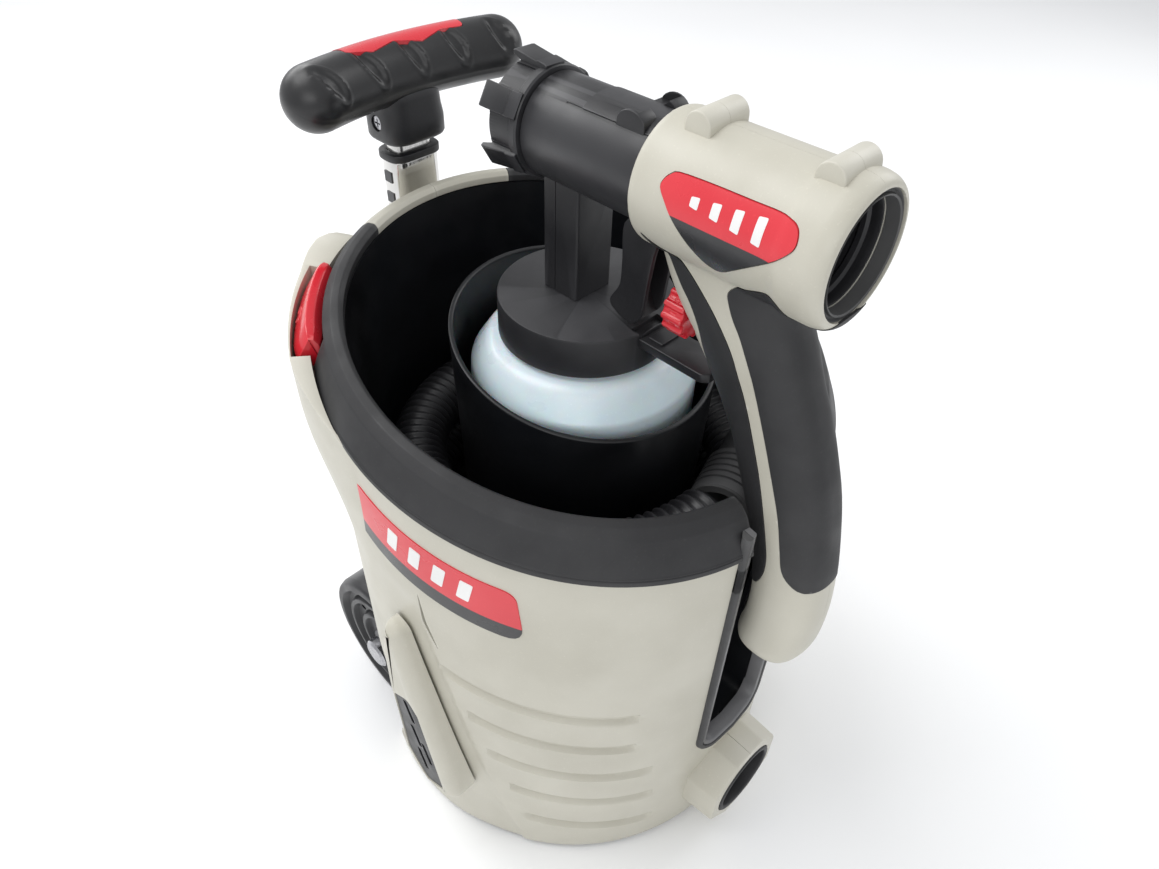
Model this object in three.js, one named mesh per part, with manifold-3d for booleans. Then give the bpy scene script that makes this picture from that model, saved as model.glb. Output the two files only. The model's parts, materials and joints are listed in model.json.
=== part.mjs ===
// Canister paint sprayer: a wheeled turbine drum with a telescopic T-handle, and a spray gun parked in
// its cup holder. Millimetres, +Z up. The shapes are drawn about the drum's axis, and the whole is
// centred over the origin at the end. The gun's handle slot faces -Y, the pull handle is at +Y.
import * as THREE from 'three';
import { mergeVertices } from 'three/addons/utils/BufferGeometryUtils.js';
import Module from 'manifold-3d';

const wasm = await Module();
wasm.setup();

// ---------- driving dimensions ----------
const GAP = 0.3; // between touching pieces
const DRUM_R = 126.5; // outside of the drum wall
const WALL = 3.5;
const DRUM_BOTTOM = 3; // lower edge of the drum wall above the floor
const RIM_SLOPE = Math.tan(THREE.MathUtils.degToRad(12.5)); // the rim falls towards the slot
const RIM_Z = 305; // rim height on the drum's axis
const OPENING_R = 111.5;
const TUB_FLOOR = 140;
const HOLDER_FLOOR = 183;
const HOLDER_RIM_Z = 294; // cup holder rim height on the axis
const SLOT_HALF = 23; // half of the clear slot width
const SLOT_BOTTOM = 88;
const TRIM = 7; // width of the slot's soft trim
const WHEEL_R = 52;
const WHEEL_Y = 75;
const WHEEL_INNER = 76; // inner side of each wheel, from the middle of the drum
const WHEEL_OUTER = 104;
const AXLE_HALF = 108.5;
const PORT_Z = 42;
const PORT_FACE = -144;
const PORT_BORE_R = 21;
const TUBE_X = 7; // centre of the telescopic tube
const TUBE_Y = 142;
const TUBE_TOP = 337;
const GRIP_R = 15.8;
const LID_R = 42;
const LID_TOP = 320;
const LID_H = 20;
const BOTTLE_R = 56.5;
const GUN_Z = 392.5; // height of the gun's bore axis
const GUN_R = 27; // outside of the gun's rear body
const GUN_BACK = -128;
const GUN_SPLIT = -43; // where the black barrel meets the rear body
const FLANGE_R = 28.5; // the collar round the gun's air inlet
const BARREL_R = 21.8;
const SLEEVE_R = 21.4; // the barrel's sleeve inside the rear body
const BARREL_BORE_R = 18;
const HANDLE_HALF = 17.5; // half of the handle's thickness
const TRIGGER_PIN = { y: -50, z: 403, radius: 2 }; // above the needle, which a pull draws back
const NEEDLE_COLLAR = -57; // front face of the collar that the trigger pushes
const HOSE_R = 15;
const HOSE_TURN_R = 87;
// Sides of the round shapes: the drum, large turned pieces, middle-sized ones and pins.
const DRUM_ROUND = 40;
const ROUND = 28;
const SMALL_ROUND = 18;
const PIN_ROUND = 10;
const GROOVE_HEIGHTS = [173, 143.5, 114, 84.5, 54]; // on the axis, before the slope

// ---------- materials ----------
const material = (color, roughness, metalness = 0) =>
  new THREE.MeshStandardMaterial({ color, roughness, metalness });
const MATERIALS = {
  beige: material(0xcfccbe, 0.42),
  softGrey: material(0x3c3d3e, 0.8),
  black: material(0x141517, 0.45),
  innerBlack: material(0x0b0c0e, 0.5),
  red: material(0xd8222c, 0.25),
  chrome: material(0xd6d7d8, 0.15, 1),
  steel: material(0xa8abae, 0.3, 1),
  milky: material(0xe9ebee, 0.4),
  rubber: material(0x1a1a1b, 0.85),
  foam: material(0x2a2b2d, 0.95),
  copper: material(0x9a6a3c, 0.5, 0.6),
  board: material(0x2f5b3a, 0.6),
};

// ---------- solids from three.js geometry ----------
function signedVolume(geometry) {
  const position = geometry.attributes.position;
  const index = geometry.index.array;
  const corner = (i) => new THREE.Vector3().fromBufferAttribute(position, index[i]);
  let sum = 0;
  for (let i = 0; i < index.length; i += 3) sum += corner(i).dot(corner(i + 1).cross(corner(i + 2)));
  return sum;
}

// An outline may run either way round: the faces are turned outwards here.
function toSolid(geometry) {
  const plain = geometry.clone();
  plain.deleteAttribute('normal');
  plain.deleteAttribute('uv');
  const merged = mergeVertices(plain, 1e-4);
  const index = merged.index.array;
  const outward = signedVolume(merged) > 0;
  const triangles = [];
  for (let i = 0; i < index.length; i += 3) {
    const [a, b, c] = [index[i], index[i + 1], index[i + 2]];
    if (a === b || b === c || c === a) continue;
    if (outward) triangles.push(a, b, c);
    else triangles.push(a, c, b);
  }
  return new wasm.Manifold(
    new wasm.Mesh({
      numProp: 3,
      vertProperties: new Float32Array(merged.attributes.position.array),
      triVerts: new Uint32Array(triangles),
    }),
  );
}

const group = new THREE.Group();

function addNode(name, solid, finish) {
  const result = solid.getMesh();
  const geometry = new THREE.BufferGeometry();
  geometry.setAttribute('position', new THREE.BufferAttribute(new Float32Array(result.vertProperties), 3));
  geometry.setIndex(new THREE.BufferAttribute(new Uint32Array(result.triVerts), 1));
  geometry.computeVertexNormals();
  const mesh = new THREE.Mesh(geometry, finish);
  mesh.name = name;
  group.add(mesh);
}

const points = (pairs) => pairs.map(([x, y]) => new THREE.Vector2(x, y));
const circlePoint = (radius, angle) => [radius * Math.cos(angle), radius * Math.sin(angle)];
const radians = THREE.MathUtils.degToRad;

// A closed or axis-to-axis outline of (radius, height), turned about the vertical axis.
function turnedZ(profile, segments = ROUND) {
  return new THREE.LatheGeometry(points(profile), segments).rotateX(Math.PI / 2);
}

// An outline of (radius, y), turned about the gun's bore axis.
function turnedAlongGun(profile, segments = SMALL_ROUND) {
  const outline = profile.map(([radius, y]) => [radius, -y]);
  return new THREE.LatheGeometry(points(outline), segments).rotateX(Math.PI).translate(0, 0, GUN_Z);
}

function turnedAlongX(profile, segments, y, z) {
  return new THREE.LatheGeometry(points(profile), segments).rotateZ(-Math.PI / 2).translate(0, y, z);
}

function block(low, high) {
  const size = high.map((value, i) => value - low[i]);
  const middle = high.map((value, i) => (value + low[i]) / 2);
  return new THREE.BoxGeometry(...size).translate(...middle);
}

function rodZ(radius, low, high, x = 0, y = 0, segments = SMALL_ROUND) {
  const rod = new THREE.CylinderGeometry(radius, radius, high - low, segments);
  return rod.rotateX(Math.PI / 2).translate(x, y, (low + high) / 2);
}

function rodX(radius, low, high, y, z, segments = PIN_ROUND) {
  const rod = new THREE.CylinderGeometry(radius, radius, high - low, segments);
  return rod.rotateZ(Math.PI / 2).translate((low + high) / 2, y, z);
}

function rodY(radius, low, high, x, z, segments = SMALL_ROUND) {
  const rod = new THREE.CylinderGeometry(radius, radius, high - low, segments);
  return rod.translate(x, (low + high) / 2, z);
}

// A plan outline (x, y) raised between two heights.
function prismZ(outline, low, high) {
  const shape = new THREE.Shape(points(outline));
  return new THREE.ExtrudeGeometry(shape, { depth: high - low, bevelEnabled: false }).translate(0, 0, low);
}

// Moves an extrusion of a (y, z) outline so that it runs along X, centred.
const SIDE_VIEW = new THREE.Matrix4().set(0, 0, 1, 0, 1, 0, 0, 0, 0, 1, 0, 0, 0, 0, 0, 1);

function sideShape(shape, half, bevel = 0, inset = 0) {
  const depth = 2 * (half - bevel);
  const options = { depth, bevelEnabled: false, curveSegments: 8 };
  if (bevel > 0 || inset !== 0) {
    Object.assign(options, {
      bevelEnabled: true,
      bevelThickness: bevel,
      bevelSize: bevel,
      bevelOffset: -bevel - inset,
      bevelSegments: 1,
    });
  }
  return new THREE.ExtrudeGeometry(shape, options).translate(0, 0, -depth / 2).applyMatrix4(SIDE_VIEW);
}

const sidePrism = (outline, half) => sideShape(new THREE.Shape(points(outline)), half);

// Tilts everything above a height so that it follows the sloping rim.
function slant(geometry, fromZ = -Infinity) {
  const position = geometry.attributes.position;
  for (let i = 0; i < position.count; i++) {
    const z = position.getZ(i);
    if (z > fromZ) position.setZ(i, z + position.getY(i) * RIM_SLOPE);
  }
  return geometry;
}

// The plan outline of a ring sector.
function sectorOutline(inner, outer, fromDegrees, toDegrees, steps) {
  const outside = [];
  const inside = [];
  for (let i = 0; i <= steps; i++) {
    const angle = radians(fromDegrees + ((toDegrees - fromDegrees) * i) / steps);
    outside.push(circlePoint(outer, angle));
    inside.unshift(circlePoint(inner, angle));
  }
  return [...outside, ...inside];
}

const all = (solids) => solids.reduce((sum, next) => sum.add(next));
const mirrorX = (outline) => outline.map(([x, y]) => [-x, y]).reverse();

// ---------- drum shells, rim and slot ----------
const LEFT_HALF = toSolid(block([-300, -300, -50], [-GAP / 2, 300, 500]));
const RIGHT_HALF = toSolid(block([GAP / 2, -300, -50], [300, 300, 500]));
const BACK_RIM = { from: 67, to: 113 }; // the part of the rim that belongs to the shells

// The slot's outline seen from the front, a U with an open top.
function slotOutline(half, bottom, corner) {
  const outline = [
    [half, 400],
    [-half, 400],
  ];
  for (let i = 0; i <= 4; i++) {
    const angle = Math.PI + (i * Math.PI) / 8;
    const [x, z] = circlePoint(corner, angle);
    outline.push([-half + corner + x, bottom + corner + z]);
  }
  for (let i = 0; i <= 4; i++) {
    const angle = 1.5 * Math.PI + (i * Math.PI) / 8;
    const [x, z] = circlePoint(corner, angle);
    outline.push([half - corner + x, bottom + corner + z]);
  }
  return outline;
}

function slotCutter(half, bottom, corner) {
  const prism = new THREE.ExtrudeGeometry(new THREE.Shape(points(slotOutline(half, bottom, corner))), {
    depth: 60,
    bevelEnabled: false,
  });
  return toSolid(prism.rotateX(Math.PI / 2).translate(0, -85, 0));
}

const rimProfile = [
  [OPENING_R, 299.5],
  [OPENING_R, 303.5],
  [113, RIM_Z],
  [116.5, 304.6],
  [120.5, 301.5],
  [124.5, 294],
  [127.4, 286.5],
  [127.8, 282],
  [125, 282],
  [122.5, 290.5],
  [118.5, 297],
  [115, 299.5],
];

function rimSector(from, to, steps) {
  return toSolid(prismZ(sectorOutline(60, 180, from, to, steps), 150, 400));
}

function drumWall() {
  const inner = DRUM_R - WALL;
  const profile = [
    [DRUM_R, DRUM_BOTTOM],
    [DRUM_R, 281.7],
    [inner, 281.7],
    [inner, DRUM_BOTTOM],
    [DRUM_R, DRUM_BOTTOM],
  ];
  return toSolid(slant(turnedZ(profile, DRUM_ROUND), 200));
}

function grooves() {
  const cutters = [];
  const ends = [
    [-168, -121],
    [-162, -121],
    [-157, -116],
    [-152, -115],
    [-148, -114],
  ];
  ends.forEach(([from, to], i) => {
    const low = GROOVE_HEIGHTS[i] - 3;
    const high = GROOVE_HEIGHTS[i] + 3;
    const left = sectorOutline(DRUM_R - 2, 132, from, to, 8);
    cutters.push(toSolid(slant(prismZ(left, low, high))));
    cutters.push(toSolid(slant(prismZ(mirrorX(left), low, high))));
  });
  return all(cutters);
}

// The fairing behind the power button, outside the drum wall at the left rear.
function switchFairing() {
  const outline = [
    circlePoint(125, radians(111)),
    circlePoint(137, radians(113)),
    circlePoint(143, radians(116)),
    circlePoint(143, radians(121)),
    circlePoint(140, radians(128)),
    circlePoint(139.5, radians(147)),
    circlePoint(138, radians(153)),
    circlePoint(131.5, radians(168)),
    ...[173, 165, 157, 149, 141, 133, 125, 118].map((azimuth) => circlePoint(125, radians(azimuth))),
  ];
  const body = toSolid(slant(prismZ(outline, 190, 290)));
  const underRim = toSolid(slant(rodZ(128.2, 281.6, 340, 0, 0, DRUM_ROUND)));
  const taper = toSolid(
    new THREE.BoxGeometry(200, 300, 120).rotateY(radians(38)).translate(-186, 60, 168),
  );
  return body.subtract(underRim).subtract(taper);
}

const buttonPocket = () => toSolid(slant(prismZ(sectorOutline(118, 136.5, 125.3, 150.5, 6), 276, 330)));

function portBoss() {
  const flats = new THREE.CylinderGeometry(31, 33, 34, 8).rotateY(radians(22.5));
  return toSolid(flats.rotateX(Math.PI).translate(0, PORT_FACE + 17, PORT_Z));
}

function wheelArches() {
  const left = toSolid(rodX(WHEEL_R + 5, -150, -70, WHEEL_Y, WHEEL_R, SMALL_ROUND));
  return left.add(toSolid(rodX(WHEEL_R + 5, 70, 150, WHEEL_Y, WHEEL_R, SMALL_ROUND)));
}

const FILTER = {
  radius: 137,
  // The cover's outline seen from the side, as (y, z), counterclockwise and convex.
  outline: [[-40, 56], [-13, 42], [6, 68], [10, 125], [9, 161], [2, 189], [-8, 186], [-20, 140]],
  windowTop: 132,
};

function buildShells() {
  const fullRim = toSolid(slant(turnedZ([...rimProfile, rimProfile[0]], DRUM_ROUND)));
  const backRim = fullRim.intersect(rimSector(BACK_RIM.from + 0.2, BACK_RIM.to - 0.2, 4));
  const backBridge = toSolid(
    slant(prismZ(sectorOutline(DRUM_R - WALL, DRUM_R, BACK_RIM.from + 0.2, BACK_RIM.to - 0.2, 12), 270, 285)),
  );
  const boss = portBoss().subtract(toSolid(rodZ(DRUM_R - 1, -5, 150, 0, 0, DRUM_ROUND)));
  const airWindow = toSolid(block([-140, -18, 68], [-100, 2, 130]));
  let shell = all([drumWall(), backRim, backBridge, boss, switchFairing()]);
  shell = shell
    .subtract(slotCutter(SLOT_HALF + TRIM + GAP, SLOT_BOTTOM - TRIM - GAP, 14))
    .subtract(toSolid(rodY(PORT_BORE_R + 2.8, -160, -100, 0, PORT_Z)))
    .subtract(wheelArches())
    .subtract(airWindow)
    .subtract(buttonPocket())
    .subtract(grooves());
  addNode('left_shell', shell.intersect(LEFT_HALF), MATERIALS.beige);
  addNode('right_shell', shell.intersect(RIGHT_HALF), MATERIALS.beige);

  const slotFrame = slotCutter(SLOT_HALF + TRIM, SLOT_BOTTOM - TRIM, 14)
    .subtract(slotCutter(SLOT_HALF, SLOT_BOTTOM, 8))
    .intersect(toSolid(prismZ(sectorOutline(121.5, 128.6, -115, -65, 16), 40, 320)))
    .intersect(toSolid(slant(block([-200, -200, 0], [200, 0, 290]), 200)));
  const frontRim = fullRim
    .subtract(rimSector(BACK_RIM.from, BACK_RIM.to, 4))
    .subtract(slotCutter(SLOT_HALF, SLOT_BOTTOM, 8))
    .subtract(toSolid(slant(prismZ(sectorOutline(121, 150, 124.3, 151.5, 8), 270, 340))));
  addNode('rim_bezel', frontRim.add(slotFrame), MATERIALS.softGrey);

  const label = toSolid(slant(prismZ(sectorOutline(DRUM_R + GAP, DRUM_R + 1, -192, -147, 12), 231, 263)));
  addNode('body_label', label.subtract(switchFairingClearance()), MATERIALS.red);
}

// The label stops just short of the fairing.
function switchFairingClearance() {
  return toSolid(block([-150, 16, 180], [-80, 90, 330]));
}

// ---------- tub, cup holder and hose ----------
function buildTub() {
  const outer = [
    [0, TUB_FLOOR - 3],
    [107.5, TUB_FLOOR - 3],
    [114, 299.2],
    [0, 299.2],
  ];
  const inner = [
    [0, TUB_FLOOR],
    [105, TUB_FLOOR],
    [111.7, 310],
    [0, 310],
  ];
  const inside = toSolid(slant(turnedZ(inner, 36), 200));
  const chute = toSolid(slant(block([-25.5, -118, 82], [25.5, -92, 289.5]), 200));
  const chuteInside = toSolid(slant(block([-SLOT_HALF, -130, 85], [SLOT_HALF, -94.5, 320]), 200));
  const tub = toSolid(slant(turnedZ(outer, 36), 200)).add(chute).subtract(inside).subtract(chuteInside);
  addNode('inner_tub', tub, MATERIALS.innerBlack);
}

function buildHolder() {
  const low = TUB_FLOOR + GAP;
  const profile = [
    [61.5, low],
    [62.5, HOLDER_FLOOR],
    [65.6, HOLDER_RIM_Z],
    [63.2, HOLDER_RIM_Z],
    [60.2, HOLDER_FLOOR],
    [12, HOLDER_FLOOR],
    [12, HOLDER_FLOOR - 3],
    [59, HOLDER_FLOOR - 3],
    [59, low],
    [61.5, low],
  ];
  addNode('cup_holder', toSolid(slant(turnedZ(profile), 250)), MATERIALS.innerBlack);
}

// A straight cuff that lies along the coil at one azimuth.
function cuffAt(azimuth, centreZ, radius, length) {
  const cuff = new THREE.CylinderGeometry(radius, radius, length, 20);
  return cuff.translate(HOSE_TURN_R, 0, 0).rotateZ(radians(azimuth)).translate(0, 0, centreZ);
}

function buildHose() {
  const low = TUB_FLOOR + GAP;
  const high = 252;
  const ring = [
    [HOSE_TURN_R - HOSE_R - 0.5, low],
    [HOSE_TURN_R + HOSE_R + 0.5, low],
    [HOSE_TURN_R + HOSE_R + 0.5, high],
    [HOSE_TURN_R - HOSE_R - 0.5, high],
    [HOSE_TURN_R - HOSE_R - 0.5, low],
  ];
  const upper = { azimuth: -72, z: 237 };
  const lower = { azimuth: 100, z: 157.5 };
  const room = (end) =>
    new THREE.BoxGeometry(44, 56, 36)
      .translate(HOSE_TURN_R, 0, 0)
      .rotateZ(radians(end.azimuth))
      .translate(0, 0, end.z);
  const coil = toSolid(turnedZ(ring)).subtract(toSolid(room(upper))).subtract(toSolid(room(lower)));
  addNode('hose_coil', coil, MATERIALS.black);
  addNode('hose_cuff_upper', toSolid(cuffAt(upper.azimuth, upper.z, 17, 54)), MATERIALS.softGrey);
  addNode('hose_cuff_lower', toSolid(cuffAt(lower.azimuth, lower.z, 16, 42)), MATERIALS.softGrey);
}

// ---------- base, wheels and turbine ----------
function axleBlock(side) {
  const low = side > 0 ? 58 : -66;
  return toSolid(block([low, WHEEL_Y - 10, 8], [low + 8, WHEEL_Y + 10, WHEEL_R + 12]));
}

function buildBase() {
  const plate = toSolid(rodZ(DRUM_R - WALL - 0.8, 6.2, 9.7, 0, 0, 40));
  const notches = toSolid(block([-140, WHEEL_Y - 60, 0], [-68, 140, 20])).add(
    toSolid(block([68, WHEEL_Y - 60, 0], [140, 140, 20])),
  );
  const bore = toSolid(rodX(4.3, -80, 80, WHEEL_Y, WHEEL_R));
  const base = all([plate.subtract(notches), axleBlock(1), axleBlock(-1)]);
  addNode('base_plate', base.subtract(bore), MATERIALS.black);
  for (const [side, name] of [
    [-1, 'left'],
    [1, 'right'],
  ]) {
    addNode(`front_foot_${name}`, toSolid(rodZ(11, 0, 5.9, side * 64, -84, 16)), MATERIALS.rubber);
  }
  addNode('axle', toSolid(rodX(4, -AXLE_HALF, AXLE_HALF, WHEEL_Y, WHEEL_R, 16)), MATERIALS.steel);
}

function wheelGeometry(side) {
  const width = WHEEL_OUTER - WHEEL_INNER;
  const profile = [
    [4.4, 0],
    [14, 0],
    [15, 5],
    [42, 5],
    [43, 0.5],
    [48, 0],
    [WHEEL_R, 4],
    [WHEEL_R, width - 4],
    [48, width],
    [43, width - 0.5],
    [42, width - 7],
    [15, width - 7],
    [14, width - 1],
    [4.4, width - 1],
    [4.4, 0],
  ];
  const wheel = turnedAlongX(profile, 24, 0, 0).translate(WHEEL_INNER, 0, 0);
  if (side < 0) wheel.rotateZ(Math.PI);
  return wheel.translate(0, WHEEL_Y, WHEEL_R);
}

// A cap with a blind socket for the axle's end.
function hubCap(side) {
  const profile = [
    [4.4, 0],
    [10, 0],
    [10, 5.5],
    [8.5, 7],
    [0, 7],
    [0, 5.6],
    [4.4, 5.6],
    [4.4, 0],
  ];
  const cap = turnedAlongX(profile, 20, 0, 0).translate(WHEEL_OUTER - 0.7, 0, 0);
  if (side < 0) cap.rotateZ(Math.PI);
  return cap.translate(0, WHEEL_Y, WHEEL_R);
}

function buildWheels() {
  addNode('wheel_left', toSolid(wheelGeometry(-1)), MATERIALS.black);
  addNode('wheel_right', toSolid(wheelGeometry(1)), MATERIALS.black);
  addNode('hub_cap_left', toSolid(hubCap(-1)), MATERIALS.steel);
  addNode('hub_cap_right', toSolid(hubCap(1)), MATERIALS.steel);
}

function buildTurbine() {
  const housing = [
    [20, 14],
    [52, 14],
    [56, 18],
    [56, 66],
    [52, 70],
    [8, 70],
    [8, 67.5],
    [50, 67.5],
    [53.5, 64],
    [53.5, 20],
    [50, 16.5],
    [20, 16.5],
    [20, 14],
  ];
  const outlet = toSolid(rodY(PORT_BORE_R, -90, -30, 0, PORT_Z));
  const outletBore = toSolid(rodY(PORT_BORE_R - 2.5, -95, -30, 0, PORT_Z));
  const scroll = toSolid(turnedZ(housing, SMALL_ROUND));
  const hollow = toSolid(
    turnedZ(
      [
        [0, 16.5],
        [50, 16.5],
        [53.5, 20],
        [53.5, 64],
        [50, 67.5],
        [0, 67.5],
      ],
      SMALL_ROUND,
    ),
  );
  addNode('fan_housing', scroll.add(outlet.subtract(hollow)).subtract(outletBore), MATERIALS.black);
  const duct = toSolid(rodY(PORT_BORE_R + 2.4, -137, -90 - GAP, 0, PORT_Z));
  const ductBore = toSolid(rodY(PORT_BORE_R, -140, -80, 0, PORT_Z));
  addNode('outlet_duct', duct.subtract(ductBore), MATERIALS.innerBlack);
  const ring = toSolid(rodY(PORT_BORE_R + 2.4, PORT_FACE - 1.2, -137 - GAP, 0, PORT_Z));
  const ringBore = toSolid(rodY(PORT_BORE_R - 0.5, -160, -130, 0, PORT_Z));
  addNode('outlet_ring', ring.subtract(ringBore), MATERIALS.softGrey);

  const fan = [toSolid(rodZ(46, 58, 60.5, 0, 0)), toSolid(rodZ(9, 24, 60, 0, 0, 20))];
  for (let i = 0; i < 8; i++) {
    const blade = new THREE.BoxGeometry(34, 2, 30).translate(27, 0, 43.5).rotateZ((i * Math.PI) / 4);
    fan.push(toSolid(blade));
  }
  addNode('turbine_fan', all(fan).subtract(toSolid(rodZ(4.3, 10, 80, 0, 0, 20))), MATERIALS.black);
  addNode('motor_shaft', toSolid(rodZ(4, 21, 132, 0, 0, 16)), MATERIALS.steel);

  const motor = toSolid(rodZ(34, 71, 126, 0, 0)).add(toSolid(rodZ(20, 125, 134, 0, 0, 24)));
  addNode('motor', motor.subtract(toSolid(rodZ(4.4, 60, 140, 0, 0, 20))), MATERIALS.copper);
  addNode('control_board', toSolid(block([60, -40, 80], [63, 30, 125])), MATERIALS.board);
}

// ---------- power button and filter ----------
function buildPowerButton() {
  const top = toSolid(slant(prismZ(sectorOutline(121.8, 136, 126, 149.8, 6), 280, 299)));
  const bevel = toSolid(
    new THREE.BoxGeometry(60, 140, 40).rotateY(radians(-32)).rotateZ(radians(-45)).translate(-112, 112, 319.5),
  );
  addNode('power_button', top.subtract(bevel), MATERIALS.red);
  const switchBody = toSolid(prismZ(sectorOutline(116.2, 121.6, 125, 145, 4), 200, 262));
  addNode('switch_module', switchBody, MATERIALS.black);
}

/** Cuts a convex outline back to the points that lie left of the line from start to end. */
function keepLeftOf(outline, start, end) {
  const side = ([y, z]) => (end[0] - start[0]) * (z - start[1]) - (end[1] - start[1]) * (y - start[0]);
  const kept = [];
  outline.forEach((point, index) => {
    const next = outline[(index + 1) % outline.length];
    const [here, there] = [side(point), side(next)];
    if (here >= 0) kept.push(point);
    if (here * there < 0) {
      const share = here / (here - there);
      kept.push([0, 1].map((axis) => point[axis] + share * (next[axis] - point[axis])));
    }
  });
  return kept;
}

function filterOutline(inset) {
  let outline = FILTER.outline;
  FILTER.outline.forEach((start, index) => {
    const end = FILTER.outline[(index + 1) % FILTER.outline.length];
    const length = Math.hypot(end[0] - start[0], end[1] - start[1]);
    const shift = [(-inset * (end[1] - start[1])) / length, (inset * (end[0] - start[0])) / length];
    const moved = [start, end].map(([y, z]) => [y + shift[0], z + shift[1]]);
    outline = keepLeftOf(outline, moved[0], moved[1]);
  });
  return outline;
}

function filterPrism(inset, innerRadius, outerRadius, top = 300) {
  const prism = toSolid(sidePrism(filterOutline(inset), 30).translate(-130, 0, 0));
  return prism
    .intersect(toSolid(rodZ(outerRadius, 20, top, 0, 0, DRUM_ROUND)))
    .subtract(toSolid(rodZ(innerRadius, 0, 310, 0, 0, DRUM_ROUND)));
}

function buildFilter() {
  const wall = 3.5;
  const border = 6.5;
  const skin = filterPrism(0, DRUM_R + GAP, FILTER.radius);
  const hollow = filterPrism(wall, DRUM_R - 5, FILTER.radius - wall);
  const window = filterPrism(border, DRUM_R - 5, FILTER.radius + 5, FILTER.windowTop);
  addNode('filter_cover', skin.subtract(hollow).subtract(window), MATERIALS.beige);

  const plateTop = FILTER.windowTop - GAP;
  const grille = filterPrism(border + GAP, FILTER.radius - wall, FILTER.radius - 1, plateTop);
  const slots = [];
  for (let z = 58; z < plateTop - 6; z += 9) {
    slots.push(toSolid(block([-160, -40, z], [-110, 20, z + 4.5])));
  }
  const frame = filterPrism(border + GAP, FILTER.radius - 8, FILTER.radius + 5, plateTop)
    .subtract(filterPrism(border + 2.5, FILTER.radius - 9, FILTER.radius + 6, plateTop - 2.5));
  const bar = toSolid(block([-160, -12, 0], [-110, -9, 300]));
  addNode('filter_grille', grille.subtract(all(slots).subtract(bar).subtract(frame)), MATERIALS.black);

  addNode('filter_foam', filterPrism(wall + 0.7, DRUM_R + 1.5, FILTER.radius - wall - 0.6), MATERIALS.foam);
}

// ---------- telescopic handle ----------
function ovalTube(width, depth, corner, low, high) {
  const shape = new THREE.Shape();
  const [x, y] = [width / 2, depth / 2];
  shape.moveTo(-x + corner, -y);
  shape.lineTo(x - corner, -y);
  shape.absarc(x - corner, -y + corner, corner, -Math.PI / 2, 0);
  shape.absarc(x - corner, y - corner, corner, 0, Math.PI / 2);
  shape.absarc(-x + corner, y - corner, corner, Math.PI / 2, Math.PI);
  shape.absarc(-x + corner, -y + corner, corner, Math.PI, 1.5 * Math.PI);
  const tube = new THREE.ExtrudeGeometry(shape, { depth: high - low, bevelEnabled: false, curveSegments: 3 });
  return toSolid(tube.translate(TUBE_X, TUBE_Y, low));
}

function buildHandle() {
  const left = TUBE_X - 15;
  const heights = [316, 328];
  const plugBox = (z, half, from, to) =>
    toSolid(block([left + from, TUBE_Y - half, z - half], [left + to, TUBE_Y + half, z + half]));
  const holes = all(heights.map((z) => plugBox(z, 3.3, -5, 5)));
  const outer = ovalTube(30, 18, 8, 24, TUBE_TOP).subtract(ovalTube(27, 15, 6.5, 26, TUBE_TOP + 5));
  addNode('handle_outer_tube', outer.subtract(holes), MATERIALS.chrome);
  heights.forEach((z, i) => {
    addNode(i ? 'detent_upper' : 'detent_lower', plugBox(z, 3, -0.6, 1.7), MATERIALS.black);
  });
  const collar = ovalTube(32.5, 20.5, 9, TUBE_TOP + GAP, TUBE_TOP + 4.3);
  addNode('tube_collar', collar.subtract(ovalTube(24.6, 12.6, 5.4, 330, 350)), MATERIALS.black);
  const inner = ovalTube(24, 12, 5, 40, 352).subtract(ovalTube(21, 9, 4, 38, 360));
  addNode('handle_inner_tube', inner, MATERIALS.chrome);

  const upperClamp = toSolid(block([TUBE_X - 22, DRUM_R + 1.2, 262], [TUBE_X + 22, TUBE_Y + 14, 286]));
  addNode('upper_bracket', upperClamp.subtract(ovalTube(30.6, 18.6, 8.3, 250, 300)), MATERIALS.black);
  const lowerClamp = toSolid(block([TUBE_X - 22, DRUM_R + 1.2, 14], [TUBE_X + 22, TUBE_Y + 14, 60]));
  addNode('lower_bracket', lowerClamp.subtract(ovalTube(30.6, 18.6, 8.3, 23.7, 80)), MATERIALS.black);
  const gland = rodY(7, DRUM_R + 1, DRUM_R + 15, 0, 40, PIN_ROUND).rotateZ(radians(-22));
  addNode('cord_gland', toSolid(gland), MATERIALS.rubber);
}

function buildGrip() {
  const stem = ovalTube(37, 30, 12, 348, 372);
  const pocket = ovalTube(24.6, 12.6, 5.4, 340, 352.6);
  const gripAxis = { x: 8, y: TUBE_Y, z: 382 };
  const bow = (x) => new THREE.Vector3(gripAxis.x + x, gripAxis.y - (x * x) / 420, gripAxis.z);
  const curve = new THREE.CatmullRomCurve3([-55, -27, 0, 27, 55].map(bow));
  const section = new THREE.Shape();
  section.absarc(0, 0, GRIP_R, 0, Math.PI * 2);
  const bar = new THREE.ExtrudeGeometry(section, { steps: 8, extrudePath: curve, curveSegments: 8 });
  let grip = toSolid(bar);
  for (const end of [-55, 55]) {
    const cap = new THREE.SphereGeometry(GRIP_R - 0.1, 16, 8).translate(...bow(end).toArray());
    grip = grip.add(toSolid(cap));
  }
  const boltHole = toSolid(rodX(5, -40, TUBE_X - 14.5, TUBE_Y, 358, 16));
  const stemRoom = ovalTube(37.6, 30.6, 12.3, 340, 372.3);
  addNode('t_grip', grip.subtract(stemRoom).subtract(insetRoom(0)), MATERIALS.rubber);
  addNode('grip_stem', stem.subtract(pocket).subtract(boltHole), MATERIALS.black);
  addNode('grip_inset', insetRoom(GAP).intersect(grip), MATERIALS.red);
  addNode('stem_screw', toSolid(rodX(3.8, TUBE_X - 17.6, TUBE_X - 14.9, TUBE_Y, 358, 12)), MATERIALS.steel);
}

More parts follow.
